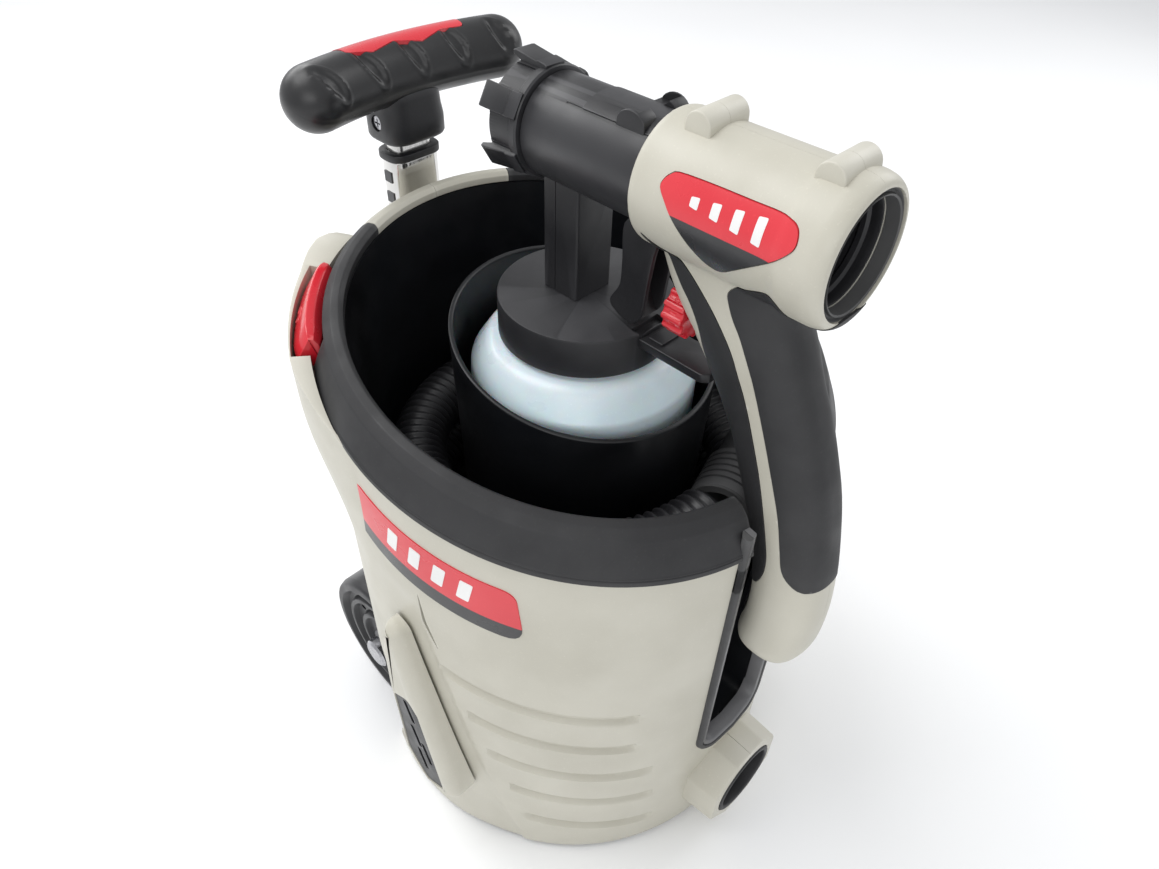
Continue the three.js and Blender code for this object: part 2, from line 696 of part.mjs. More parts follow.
function insetRoom(inset) {
  const [low, high] = [TUBE_Y - 9 + inset, TUBE_Y + 9 - inset];
  return toSolid(block([-26 + inset, low, 393 + inset], [44 - inset, high, 402]));
}

// ---------- spray gun ----------
const HANDLE_OUTLINE = [
  [-44, 372],
  [-54, 352],
  [-68, 335],
  [-80, 319],
  [-92, 300],
  [-104, 273],
  [-114, 247],
  [-120, 222],
  [-120, 198],
  [-118, 180],
  [-123, 172],
  [-137, 168.5],
  [-149, 174],
  [-156, 190],
  [-157, 222],
  [-154, 244],
  [-146, 284],
  [-139, 304],
  [-129, 326],
  [-117, 347],
  [-112, 364],
  [-112, 384],
  [-70, 392],
];

// The side outlines of the two soft overmoulds. They run past the handle where they wrap round it.
const FRONT_STRIP = [
  [-62, 361],
  [-64, 330],
  [-88, 300],
  [-100, 272],
  [-110, 247],
  [-112, 221],
  [-126, 226],
  [-126, 245],
  [-123, 270],
  [-113, 299],
  [-101, 326],
  [-88, 350],
  [-76, 363],
];
const REAR_PAD = [
  [-90, 362],
  [-97, 352],
  [-111, 324],
  [-122, 297],
  [-130, 266],
  [-133, 246],
  [-140, 238],
  [-170, 243],
  [-170, 300],
  [-140, 350],
  [-120, 362],
];

const handleShape = () => {
  const shape = new THREE.Shape();
  shape.setFromPoints(points(HANDLE_OUTLINE));
  return shape;
};
const handleSolid = (inset) => toSolid(sideShape(handleShape(), HANDLE_HALF - inset, 6 - inset * 0.5, inset));

function gunBodySolid() {
  const outer = [
    [0, GUN_SPLIT],
    [25.4, GUN_SPLIT],
    [GUN_R, GUN_SPLIT - 5],
    [GUN_R, -103],
    [FLANGE_R, -110],
    [FLANGE_R, -123],
    [26, GUN_BACK],
    [0, GUN_BACK],
  ];
  const bosses = [-60.6, -114].map((y) => {
    const round = new THREE.CylinderGeometry(5.8, 5.8, 23, 18).rotateZ(Math.PI / 2);
    const foot = new THREE.BoxGeometry(23, 11.6, 14).translate(0, 0, -7);
    return toSolid(round).add(toSolid(foot)).translate(0, y, GUN_Z + 26.7);
  });
  return all([toSolid(turnedAlongGun(outer)), ...bosses, handleSolid(0)]);
}

function gunCavity() {
  const inside = [
    [0, GUN_SPLIT + 5],
    [SLEEVE_R + GAP, GUN_SPLIT + 5],
    [SLEEVE_R + GAP, -57.5],
    [24.2, -60],
    [24.2, -112],
    [21.8, -116],
    [21.8, GUN_BACK - 5],
    [0, GUN_BACK - 5],
  ];
  const handleRoom = [
    [-75, 372],
    [-70, 352],
    [-92, 321],
    [-104, 297],
    [-114, 270],
    [-124, 240],
    [-127, 205],
    [-127, 185],
    [-142, 185],
    [-148, 210],
    [-147, 238],
    [-139, 278],
    [-129, 308],
    [-108, 345],
    [-104, 372],
  ];
  return toSolid(turnedAlongGun(inside)).add(toSolid(sidePrism(handleRoom, 10)));
}

const triggerSlot = () => toSolid(block([-9.2, -59, 362], [9.2, -24.5, 386]));
const pinHoles = () => toSolid(rodX(TRIGGER_PIN.radius + GAP, -40, 40, TRIGGER_PIN.y, TRIGGER_PIN.z, 12));

// The upright web behind the needle's spring, with a hole for the needle.
function springWeb() {
  const web = toSolid(block([-7, -98, 367], [7, -95, 418]));
  return web.subtract(toSolid(rodY(2.4, -110, -80, 0, GUN_Z, PIN_ROUND)));
}

function buildGunShells() {
  const core = handleSolid(2.6);
  const front = toSolid(sidePrism(FRONT_STRIP, 30));
  const rear = toSolid(sidePrism(REAR_PAD, 30));
  const inletRoom = toSolid(rodY(24, GUN_BACK - 5, -121, 0, GUN_Z));
  const knobRoom = toSolid(rodY(12.2, -72, -40, 0, 338));
  const shell = gunBodySolid()
    .subtract(front.add(rear).subtract(core))
    .subtract(gunCavity())
    .add(springWeb())
    .subtract(inletRoom)
    .subtract(triggerSlot())
    .subtract(knobRoom);
  addNode('gun_shell_left', shell.intersect(LEFT_HALF), MATERIALS.beige);
  addNode('gun_shell_right', shell.intersect(RIGHT_HALF), MATERIALS.beige);

  const skin = handleSolid(0).subtract(handleSolid(2.3)).subtract(toSolid(turnedAlongGun(bodyClearance())));
  const strip = skin.intersect(toSolid(sidePrism(shrink(FRONT_STRIP, GAP), 30)));
  const pad = skin.intersect(toSolid(sidePrism(shrink(REAR_PAD, GAP), 30)));
  addNode('front_grip_strip', strip.subtract(knobRoom), MATERIALS.softGrey);
  addNode('rear_grip_pad', pad, MATERIALS.softGrey);
  const ring = toSolid(rodY(23.7, GUN_BACK + 0.6, -121.3, 0, GUN_Z));
  addNode('inlet_ring', ring.subtract(toSolid(rodY(21.5, GUN_BACK - 5, -110, 0, GUN_Z))), MATERIALS.softGrey);
}

// Room round the gun's rear body, kept free by the soft overmoulds.
function bodyClearance() {
  return [
    [0, -20],
    [GUN_R + GAP, -20],
    [GUN_R + GAP, -103],
    [FLANGE_R + GAP, -110],
    [FLANGE_R + GAP, -135],
    [0, -135],
  ];
}

// Moves each corner of an outline towards its middle by a set amount.
function shrink(outline, amount) {
  const shape = points(outline);
  const turn = Math.sign(THREE.ShapeUtils.area(shape));
  return shape.map((point, i) => {
    const before = shape[(i + shape.length - 1) % shape.length];
    const after = shape[(i + 1) % shape.length];
    const normalIn = (a, b) => new THREE.Vector2(-(b.y - a.y), b.x - a.x).normalize().multiplyScalar(turn);
    const bisector = normalIn(before, point).add(normalIn(point, after)).normalize();
    return [point.x + bisector.x * amount, point.y + bisector.y * amount];
  });
}

function buildBarrel() {
  const outline = [
    [19.6, 29],
    [19.6, 20.4],
    [BARREL_R, 20],
    [BARREL_R, GUN_SPLIT + GAP],
    [SLEEVE_R, GUN_SPLIT + GAP],
    [SLEEVE_R, -57],
    [BARREL_BORE_R, -57],
    [BARREL_BORE_R, -2],
    [8.2, 0],
    [8.2, 21],
    [17.2, 21],
    [17.2, 29],
    [19.6, 29],
  ];
  const neck = toSolid(block([-11.5, -4, LID_TOP + GAP], [11.5, 17, GUN_Z - 15]));
  const neckBore = toSolid(rodZ(5, 300, GUN_Z, 0, 6.5, PIN_ROUND));
  const panel = toSolid(rodY(BARREL_R + 0.6, GUN_SPLIT + GAP, -6.5, 0, GUN_Z, ROUND));
  const bridge = panel.intersect(toSolid(block([-12.8, -50, GUN_Z + 10], [12.8, 0, GUN_Z + 29.5])));
  const ears = [-1, 1].map((side) => {
    const ear = new THREE.CylinderGeometry(7, 7, 3, 16).rotateZ(Math.PI / 2);
    return toSolid(ear.translate(side * 11, -31.5, GUN_Z + 19.5));
  });
  const inner = toSolid(rodY(BARREL_BORE_R, -60, -2, 0, GUN_Z));
  const tube = toSolid(turnedAlongGun(outline));
  const behind = toSolid(block([-60, -100, 300], [60, GUN_SPLIT + GAP, 500]));
  const behindSplit = behind.subtract(toSolid(rodY(SLEEVE_R, -101, 0, 0, GUN_Z)));
  const barrel = all([tube, neck.add(bridge).add(all(ears)).subtract(inner)])
    .subtract(neckBore)
    .subtract(triggerSlot())
    .subtract(pinHoles())
    .subtract(behindSplit);
  addNode('barrel', barrel, MATERIALS.black);
}

function buildNozzle() {
  const nozzle = [
    [2.2, 4],
    [7.9, 4],
    [7.9, 23],
    [5, 31],
    [3.2, 37],
    [2.2, 37],
    [2.2, 4],
  ];
  addNode('fluid_nozzle', toSolid(turnedAlongGun(nozzle, PIN_ROUND)), MATERIALS.steel);
  const needle = [
    [0, 36],
    [1.6, 32.5],
    [1.6, NEEDLE_COLLAR],
    [7, NEEDLE_COLLAR],
    [7, NEEDLE_COLLAR - 4],
    [1.6, NEEDLE_COLLAR - 4],
    [1.6, -104],
    [0, -104],
  ];
  addNode('needle', toSolid(turnedAlongGun(needle, 8)), MATERIALS.steel);
  const spring = [
    [4.6, -63.2],
    [6.4, -63.2],
    [6.4, -94.6],
    [4.6, -94.6],
    [4.6, -63.2],
  ];
  addNode('needle_spring', toSolid(turnedAlongGun(spring, PIN_ROUND)), MATERIALS.steel);

  const cap = [
    [8.6, 29.6],
    [19.6, 29.6],
    [19.6, 32],
    [16.5, 36.8],
    [8, 36.8],
    [5.4, 34.6],
    [8.6, 29.6],
  ];
  const horn = (x) => toSolid(block([x - 3.5, 33, GUN_Z - 3.5], [x + 3.5, 41.5, GUN_Z + 3.5]));
  const horns = [horn(-12), horn(12)];
  addNode('air_cap', toSolid(turnedAlongGun(cap)).add(all(horns)), MATERIALS.black);

  const ring = [
    [20.1, 21],
    [23.5, 21],
    [24.2, 26],
    [23.4, 38],
    [17.5, 38],
    [17.5, 36.4],
    [20.1, 32.5],
    [20.1, 21],
  ];
  const prongs = [];
  for (let i = 0; i < 6; i++) {
    const angle = ((2 * i + 1) * Math.PI) / 6;
    const prong = new THREE.BoxGeometry(11, 19.5, 4.5).translate(0, 31.4, 24.2).rotateY(angle);
    prongs.push(toSolid(prong.translate(0, 0, GUN_Z)));
  }
  const crown = all(prongs).subtract(toSolid(rodY(21.5, 10, 80, 0, GUN_Z)));
  const lockRing = toSolid(turnedAlongGun(ring)).add(crown);
  addNode('lock_ring', lockRing, MATERIALS.black);
}

function buildTrigger() {
  const outline = [
    [-27, 368],
    [-27, 352],
    [-27, 339],
    [-21.5, 329],
    [-23.5, 325],
    [-33, 321.5],
    [-40, 328],
    [-42, 345],
    [-45, 364],
    [-52, 375],
    [-56, 385],
    [-56, 401],
    [-52, 407],
    [-47, 407],
    [-44.5, 402],
    [-43.5, 388],
    [-38, 378],
  ];
  const channel = [
    [-70, 300],
    [-36, 326.5],
    [-32.5, 338],
    [-33, 352],
    [-34, 366],
    [-39, 376],
    [-30, 384],
    [-30, 420],
    [-70, 420],
  ];
  const trigger = toSolid(sidePrism(outline, 8)).subtract(toSolid(sidePrism(channel, 5.4)));
  addNode('trigger', trigger.subtract(pinHoles()), MATERIALS.black);
  const pin = rodX(TRIGGER_PIN.radius, -17.4, 17.4, TRIGGER_PIN.y, TRIGGER_PIN.z, 12);
  addNode('trigger_pin', toSolid(pin), MATERIALS.steel);
  const knob = toSolid(rodY(10.5, -64, -53, 0, 338));
  const ribs = [];
  for (let i = 0; i < 12; i++) {
    const rib = new THREE.BoxGeometry(2.6, 10, 2.4).translate(0, -58.5, 10.6).rotateY((i * Math.PI) / 6);
    ribs.push(toSolid(rib.translate(0, 0, 338)));
  }
  addNode('flow_knob', all([knob, ...ribs]), MATERIALS.red);
}

function buildCup() {
  const lid = [
    [0, LID_TOP],
    [LID_R - 1, LID_TOP],
    [LID_R, LID_TOP - 1],
    [LID_R, LID_TOP - LID_H],
    [38.8, LID_TOP - LID_H],
    [38.8, LID_TOP - 3],
    [0, LID_TOP - 3],
  ];
  const tubeHole = toSolid(rodZ(4.4, 300, 330, 0, 6.5, PIN_ROUND));
  const bridge = toSolid(block([-9, -79, 313], [9, -39, 317.5]));
  addNode('cup_lid', toSolid(turnedZ(lid)).add(bridge).subtract(tubeHole), MATERIALS.black);
  const gasket = [
    [32, 314.6],
    [37.5, 314.6],
    [37.5, 316.6],
    [32, 316.6],
    [32, 314.6],
  ];
  addNode('lid_gasket', toSolid(turnedZ(gasket, SMALL_ROUND)), MATERIALS.rubber);
  const bottle = [
    [0, HOLDER_FLOOR + GAP],
    [52, HOLDER_FLOOR + GAP],
    [BOTTLE_R, HOLDER_FLOOR + 5],
    [BOTTLE_R, 276],
    [54.4, 287],
    [47, 296],
    [37.6, 299],
    [37.6, 314.3],
    [35.4, 314.3],
    [35.4, 297],
    [46, 293.5],
    [52.4, 285],
    [54.3, 275],
    [53, HOLDER_FLOOR + 2.6],
    [0, HOLDER_FLOOR + 2.6],
  ];
  addNode('bottle', toSolid(turnedZ(bottle)), MATERIALS.milky);
  const tube = toSolid(rodZ(4, 190, 366, 0, 6.5, PIN_ROUND));
  addNode('pickup_tube', tube.subtract(toSolid(rodZ(2.6, 180, 400, 0, 6.5, PIN_ROUND))), MATERIALS.milky);
}

buildShells();
buildTub();
buildHolder();
buildHose();
buildBase();
buildWheels();
buildTurbine();
buildPowerButton();
buildFilter();
buildHandle();
buildGrip();
buildGunShells();
buildBarrel();
buildNozzle();
buildTrigger();
buildCup();

// Centres the whole over the origin. It already stands on the floor.
const middle = new THREE.Box3().setFromObject(group).getCenter(new THREE.Vector3());
for (const mesh of group.children) mesh.geometry.translate(-middle.x, -middle.y, 0);

export default group;
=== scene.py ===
import json
import math

import bmesh
import bpy
from mathutils import Matrix, Vector


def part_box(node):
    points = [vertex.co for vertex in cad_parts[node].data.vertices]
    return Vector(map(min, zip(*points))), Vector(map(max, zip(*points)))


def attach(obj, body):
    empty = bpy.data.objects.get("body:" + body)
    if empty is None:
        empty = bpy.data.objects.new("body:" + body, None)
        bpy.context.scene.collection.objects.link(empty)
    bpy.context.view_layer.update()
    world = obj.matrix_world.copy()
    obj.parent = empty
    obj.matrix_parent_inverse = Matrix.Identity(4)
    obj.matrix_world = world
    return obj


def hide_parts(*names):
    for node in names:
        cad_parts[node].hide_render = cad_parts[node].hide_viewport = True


# A canister paint sprayer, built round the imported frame. Lengths are in millimetres about the drum's
# axis, and build() turns them into metres in the frame's own place.
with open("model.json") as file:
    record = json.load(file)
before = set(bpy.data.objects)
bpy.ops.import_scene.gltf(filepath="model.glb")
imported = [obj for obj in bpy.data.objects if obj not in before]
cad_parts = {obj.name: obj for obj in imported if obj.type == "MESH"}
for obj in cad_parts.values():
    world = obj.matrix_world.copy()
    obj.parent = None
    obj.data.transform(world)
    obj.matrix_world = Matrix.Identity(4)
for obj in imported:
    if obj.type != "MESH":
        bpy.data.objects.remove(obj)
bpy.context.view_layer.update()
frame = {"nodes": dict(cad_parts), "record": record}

MM = 0.001
cup_low, cup_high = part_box("bottle")
AXIS_X = (cup_low.x + cup_high.x) / 2
AXIS_Y = (cup_low.y + cup_high.y) / 2
SLOPE = math.tan(math.radians(12.5))  # the rim falls towards the slot

DRUM_R = 126.5
WALL_IN = 122.9
WALL_TOP = 281.7
SLOT_HALF = 23.0
SLOT_BOTTOM = 88.0
TRIM = 5.4
WHEEL_R = 52.0
WHEEL_Y = 75.0
PORT_Z = 42.0
PORT_FACE = -144.0
TUBE_X = 7.0
TUBE_Y = 142.0
TUBE_TOP = 337.0
GUN_Z = 392.5
LID_TOP = 320.0
LID_R = 42.0
HOSE_R = 14.8
HOSE_TURN_R = 87.0


# ---------- camera, light and floor ----------
def set_camera():
    """The view from above the left front: pitch, azimuth and roll in degrees."""
    pitch, azimuth, roll = math.radians(42.49), math.radians(-47.0), math.radians(2.18)
    focal_share = 849.7 / 1159
    forward = Vector((0, math.cos(pitch), -math.sin(pitch)))
    side = Vector((1, 0, 0))
    up = side.cross(forward)
    right = side * math.cos(roll) + up * math.sin(roll)
    top = up * math.cos(roll) - side * math.sin(roll)
    turn = Matrix.Rotation(azimuth, 3, "Z")
    axes = Matrix((turn @ right, turn @ top, turn @ -forward)).transposed()
    data = bpy.data.cameras.new("camera")
    data.sensor_width = 36
    data.lens = 36 * focal_share
    data.shift_x = -0.0039
    data.clip_start = 0.01
    camera = bpy.data.objects.new("camera", data)
    place = Vector((-247.2 * MM + AXIS_X, -232.4 * MM + AXIS_Y, 538.5 * MM))
    camera.matrix_world = Matrix.Translation(place) @ axes.to_4x4()
    bpy.context.scene.collection.objects.link(camera)
    bpy.context.scene.camera = camera


def area_light(name, place, target, size, power, color=(1, 1, 1)):
    data = bpy.data.lights.new(name, "AREA")
    data.shape = "RECTANGLE"
    data.size, data.size_y = size
    data.energy = power
    data.color = color
    lamp = bpy.data.objects.new(name, data)
    lamp.location = place
    direction = Vector(target) - Vector(place)
    lamp.rotation_euler = direction.to_track_quat("-Z", "Y").to_euler()
    bpy.context.scene.collection.objects.link(lamp)


def set_light():
    area_light("key", (-0.6, 0.7, 1.9), (0, 0, 0.2), (1.2, 1.2), 17)
    area_light("front", (-1.3, -1.0, 1.1), (0, 0, 0.2), (1.2, 0.8), 6.5)
    area_light("side", (1.5, -0.2, 1.1), (0, 0, 0.2), (0.8, 1.2), 6)
    area_light("back", (0.1, 1.7, 1.2), (0, 0, 0.25), (1.4, 0.8), 10)
    world = bpy.data.worlds.new("studio")
    world.use_nodes = True
    background = world.node_tree.nodes["Background"]
    background.inputs["Color"].default_value = (0.93, 0.94, 0.96, 1)
    background.inputs["Strength"].default_value = 0.66
    bpy.context.scene.world = world
    bpy.context.scene.view_settings.view_transform = "Standard"


# ---------- materials ----------
class Look:
    """A material under construction: its node tree and its shader."""

    def __init__(self, name):
        self.material = bpy.data.materials.new(name)
        self.material.use_nodes = True
        self.tree = self.material.node_tree
        self.shader = self.tree.nodes["Principled BSDF"]
        self.place = self.node("ShaderNodeTexCoord").outputs["Object"]

    def node(self, kind, **settings):
        made = self.tree.nodes.new(kind)
        for key, value in settings.items():
            setattr(made, key, value)
        return made

    def link(self, source, target):
        self.tree.links.new(source, target)

    def noise(self, scale, detail=3.0, stretch=(1, 1, 1)):
        mapping = self.node("ShaderNodeMapping")
        mapping.inputs["Scale"].default_value = stretch
        self.link(self.place, mapping.inputs["Vector"])
        texture = self.node("ShaderNodeTexNoise")
        texture.inputs["Scale"].default_value = scale
        texture.inputs["Detail"].default_value = detail
        self.link(mapping.outputs["Vector"], texture.inputs["Vector"])
        return texture.outputs["Fac"]

    def spread(self, source, low, high, from_low=0.35, from_high=0.65):
        ranged = self.node("ShaderNodeMapRange")
        ranged.inputs["From Min"].default_value = from_low
        ranged.inputs["From Max"].default_value = from_high
        ranged.inputs["To Min"].default_value = low
        ranged.inputs["To Max"].default_value = high
        self.link(source, ranged.inputs["Value"])
        return ranged.outputs["Result"]

    def blend(self, factor, first, second):
        """first and second are colours or the outputs of nodes."""
        mix = self.node("ShaderNodeMix", data_type="RGBA")
        self.link(factor, mix.inputs["Factor"])
        for socket, value in ((mix.inputs[6], first), (mix.inputs[7], second)):
            if isinstance(value, tuple):
                socket.default_value = (*value, 1)
            else:
                self.link(value, socket)
        return mix.outputs[2]

    def bump(self, source, strength, distance):
        bump = self.node("ShaderNodeBump")
        bump.inputs["Strength"].default_value = strength
        bump.inputs["Distance"].default_value = distance
        self.link(source, bump.inputs["Height"])
        return bump

    def set(self, **values):
        for key, value in values.items():
            socket = self.shader.inputs[key.replace("_", " ")]
            if hasattr(value, "links") or isinstance(value, bpy.types.NodeSocket):
                self.link(value, socket)
            else:
                socket.default_value = value


def moulded(name, dark, light, rough, grain=2600, depth=0.00004, painted_edge_highlight=None, **more):
    """Moulded plastic or rubber: slow colour drift, a fine texture, uneven gloss and a painted highlight on
    convex edges.
    """
    look = Look(name)
    color = look.blend(look.spread(look.noise(22, 5), 0, 1), dark, light)
    specks = look.spread(look.noise(900, 2), 0, 0.35, 0.62, 0.75)
    color = look.blend(specks, color, tuple(min(1, 1.12 * c + 0.01) for c in light))
    if painted_edge_highlight:
        # Convex edges (pointiness) are blended to a lighter colour: a painted highlight where light catches
        # the edges.
        edges = look.node("ShaderNodeNewGeometry").outputs["Pointiness"]
        color = look.blend(look.spread(edges, 0, 0.6, 0.53, 0.6), color, painted_edge_highlight)
    look.set(Base_Color=color)
    look.set(Roughness=look.spread(look.noise(60, 4), rough[0], rough[1]))
    fine = look.bump(look.noise(grain, 2), 0.6, depth)
    broad = look.bump(look.noise(45, 2), 0.25, 0.00012)
    look.link(broad.outputs["Normal"], fine.inputs["Normal"])
    look.set(Normal=fine.outputs["Normal"])
    for key, value in more.items():
        look.set(**{key: value})
    return look.material


def metal(name, color, rough, brushed=(1, 1, 1), scale=300):
    look = Look(name)
    tone = tuple(c * 0.88 for c in color)
    look.set(Base_Color=look.blend(look.spread(look.noise(35, 4), 0, 1), tone, color), Metallic=1.0)
    lines = look.noise(scale, 3, brushed)
    look.set(Roughness=look.spread(lines, rough[0], rough[1]))
    look.set(Normal=look.bump(lines, 0.15, 0.00002).outputs["Normal"])
    return look.material


# Each painted_edge_highlight colour below is a painted highlight laid on the finish's convex edges.
LOOKS = {
    "beige": moulded("beige_shell", (0.52, 0.5, 0.422), (0.575, 0.555, 0.475), (0.36, 0.46), 1700,
                     painted_edge_highlight=(0.7, 0.68, 0.61)),
    "grey": moulded("grey_soft_touch", (0.019, 0.019, 0.0205), (0.029, 0.029, 0.0305), (0.5, 0.64), 3200,
                    0.00007, painted_edge_highlight=(0.12, 0.12, 0.12)),
    "pale_grey": moulded("grey_lip", (0.12, 0.12, 0.125), (0.17, 0.17, 0.175), (0.35, 0.5), 2400),
    "black": moulded("black_plastic", (0.012, 0.012, 0.014), (0.02, 0.02, 0.022), (0.34, 0.48), 2200,
                     0.00005, painted_edge_highlight=(0.07, 0.07, 0.075)),
    "well": moulded("tub_plastic", (0.004, 0.004, 0.005), (0.007, 0.008, 0.01), (0.32, 0.45), 1500),
    "rubber": moulded("grip_rubber", (0.013, 0.013, 0.014), (0.022, 0.022, 0.023), (0.28, 0.42), 2500,
                      painted_edge_highlight=(0.06, 0.06, 0.06)),
    "red": moulded("red_plastic", (0.62, 0.012, 0.025), (0.7, 0.02, 0.035), (0.2, 0.3), 1500, 0.00002,
                   painted_edge_highlight=(0.85, 0.16, 0.17), Coat_Weight=0.35, Coat_Roughness=0.12),
    "label_red": moulded("label_red", (0.68, 0.035, 0.05), (0.74, 0.05, 0.065), (0.26, 0.34), 900),
    "label_dark": moulded("label_dark", (0.03, 0.03, 0.032), (0.045, 0.045, 0.047), (0.26, 0.36), 900),
    "label_white": moulded("label_white", (0.8, 0.8, 0.79), (0.9, 0.9, 0.88), (0.3, 0.4), 900),
    "milky": moulded("milky_bottle", (0.74, 0.77, 0.82), (0.82, 0.85, 0.89), (0.26, 0.36), 700, 0.00002,
                     Subsurface_Weight=0.45, Subsurface_Scale=0.012, Coat_Weight=0.15),
    "chrome": metal("polished_tube", (0.72, 0.71, 0.69), (0.05, 0.16), (1, 1, 0.03), 700),
    "steel": metal("turned_steel", (0.5, 0.5, 0.52), (0.22, 0.38), (1, 1, 0.2)),
    "foam": moulded("filter_foam", (0.01, 0.01, 0.011), (0.03, 0.03, 0.032), (0.85, 0.95), 900, 0.0004),
    "copper": metal("motor_can", (0.45, 0.43, 0.4), (0.3, 0.5)),
    "board": moulded("circuit_board", (0.01, 0.07, 0.03), (0.02, 0.12, 0.05), (0.3, 0.5), 400),
}


# ---------- shapes ----------
def smooth_step(low, high, value):
    share = min(1.0, max(0.0, (value - low) / (high - low)))
    return share * share * (3 - 2 * share)


def lerp(table, value):
    """Straight-line interpolation in a list of (place, value) pairs."""
    if value <= table[0][0]:
        return table[0][1]
    for (x0, y0), (x1, y1) in zip(table, table[1:]):
        if value <= x1:
            return y0 + (y1 - y0) * (value - x0) / (x1 - x0)
    return table[-1][1]


def build(name, points, faces):
    """An object from points in millimetres, with merged doubles and its faces turned outwards."""
    mesh = bpy.data.meshes.new(name)
    places = [(x * MM + AXIS_X, y * MM + AXIS_Y, z * MM) for x, y, z in points]
    mesh.from_pydata(places, [], faces)
    work = bmesh.new()
    work.from_mesh(mesh)
    bmesh.ops.remove_doubles(work, verts=work.verts, dist=2e-6)
    bmesh.ops.recalc_face_normals(work, faces=work.faces)
    work.to_mesh(mesh)
    work.free()
    obj = bpy.data.objects.new(name, mesh)
    bpy.context.scene.collection.objects.link(obj)
    return obj


def rings(name, loops, wrap=False):
    """Skins closed loops of equal length, one after the other; the ends are capped unless they wrap."""
    count = len(loops[0])
    points = [point for loop in loops for point in loop]
    faces = []
    for i in range(len(loops) if wrap else len(loops) - 1):
        a, b = i * count, ((i + 1) % len(loops)) * count
        faces += [(a + k, a + (k + 1) % count, b + (k + 1) % count, b + k) for k in range(count)]
    if not wrap:
        faces.append(tuple(range(count)))
        faces.append(tuple(range((len(loops) - 1) * count, len(loops) * count)))
    return build(name, points, faces)


def rounded(outline, radius=1.0, steps=4):
    """Rounds the corners of a closed outline; a corner may carry its own radius as a third number."""
    made = []
    for i, corner in enumerate(outline):
        here = Vector(corner[:2])
        before = Vector(outline[i - 1][:2]) - here
        after = Vector(outline[(i + 1) % len(outline)][:2]) - here
        size = corner[2] if len(corner) > 2 else radius
        angle = before.angle(after, math.pi)
        if size < 0.01 or angle > math.radians(176):
            made.append(tuple(here))
            continue
        reach = min(size / math.tan(angle / 2), 0.48 * before.length, 0.48 * after.length)
        start = here + before.normalized() * reach
        end = here + after.normalized() * reach
        for k in range(steps + 1):
            t = k / steps
            point = start * (1 - t) ** 2 + here * 2 * t * (1 - t) + end * t * t
            made.append(tuple(point))
    return made


def curved(points, per=6, closed=True):
    """A Catmull-Rom curve through points."""
    count = len(points)
    made = []
    for i in range(count if closed else count - 1):
        p = [Vector(points[(i + k) % count] if closed else points[max(0, min(count - 1, i + k))])
             for k in (-1, 0, 1, 2)]
        for k in range(per):
            t = k / per
            made.append(tuple(0.5 * (2 * p[1] + (p[2] - p[0]) * t
                                     + (2 * p[0] - 5 * p[1] + 4 * p[2] - p[3]) * t * t
                                     + (3 * p[1] - 3 * p[2] + p[3] - p[0]) * t ** 3)))
    if not closed:
        made.append(tuple(points[-1]))
    return made


def inset(outline, distance):
    """Moves each corner of an outline inwards by a distance."""
    area = sum(x0 * y1 - x1 * y0 for (x0, y0), (x1, y1) in zip(outline, outline[1:] + outline[:1]))
    turn = 1 if area > 0 else -1
    made = []
    for i, point in enumerate(outline):
        here = Vector(point)
        before = (here - Vector(outline[i - 1])).normalized()
        after = (Vector(outline[(i + 1) % len(outline)]) - here).normalized()
        normal = Vector((-(before + after).y, (before + after).x)).normalized() * turn
        lean = max(0.5, normal.dot(Vector((-after.y, after.x)) * turn))
        made.append(tuple(here + normal * distance / lean))
    return made


def plan(u, v, w):
    return (u, v, w)


def side(u, v, w):
    return (w, u, v)


def front(u, v, w):
    return (u, w, v)


def prism(name, outline, low, high, place=plan, bevel=0.6, steps=3):
    """Raises an outline (u, v) from w = low to high, with rounded ends."""
    levels = [(low, 0.0), (high, 0.0)]
    if bevel:
        turns = [math.pi / 2 * k / steps for k in range(steps + 1)]
        bottom = [(low + bevel * (1 - math.cos(t)), bevel * (1 - math.sin(t))) for t in turns]
        levels = bottom + [(high + low - w, back) for w, back in bottom[::-1]]
    loops = []
    for w, back in levels:
        ring = inset(outline, back) if back > 1e-6 else outline
        loops.append([place(u, v, w) for u, v in ring])
    return rings(name, loops)


def around_z(radius, height, angle):
    return (radius * math.cos(angle), radius * math.sin(angle), height)


def around_gun(radius, y, angle):
    return (radius * math.cos(angle), y, GUN_Z + radius * math.sin(angle))


def turned(name, profile, place=around_z, start=0.0, end=360.0, steps=96):
    """Turns a closed profile of (radius, height) about an axis."""
    full = end - start >= 359.9
    count = steps if full else steps + 1
    loops = []
    for k in range(count):
        angle = math.radians(start + (end - start) * k / steps)
        loops.append([place(radius, height, angle) for radius, height in profile])
    return rings(name, loops, wrap=full)


def box(name, low, high, bevel=0.0):
    outline = [(low[0], low[1]), (high[0], low[1]), (high[0], high[1]), (low[0], high[1])]
    if bevel:
        outline = rounded(outline, bevel, 3)
    return prism(name, outline, low[2], high[2], plan, bevel)


def circle(radius, x=0.0, y=0.0, steps=48):
    return [(x + radius * math.cos(math.tau * k / steps), y + radius * math.sin(math.tau * k / steps))
            for k in range(steps)]


def apply_modifiers(obj):
    """Puts the modifiers' result into the object's own mesh."""
    graph = bpy.context.evaluated_depsgraph_get()
    old = obj.data
    obj.data = bpy.data.meshes.new_from_object(obj.evaluated_get(graph))
    obj.modifiers.clear()
    bpy.data.meshes.remove(old)
    return obj


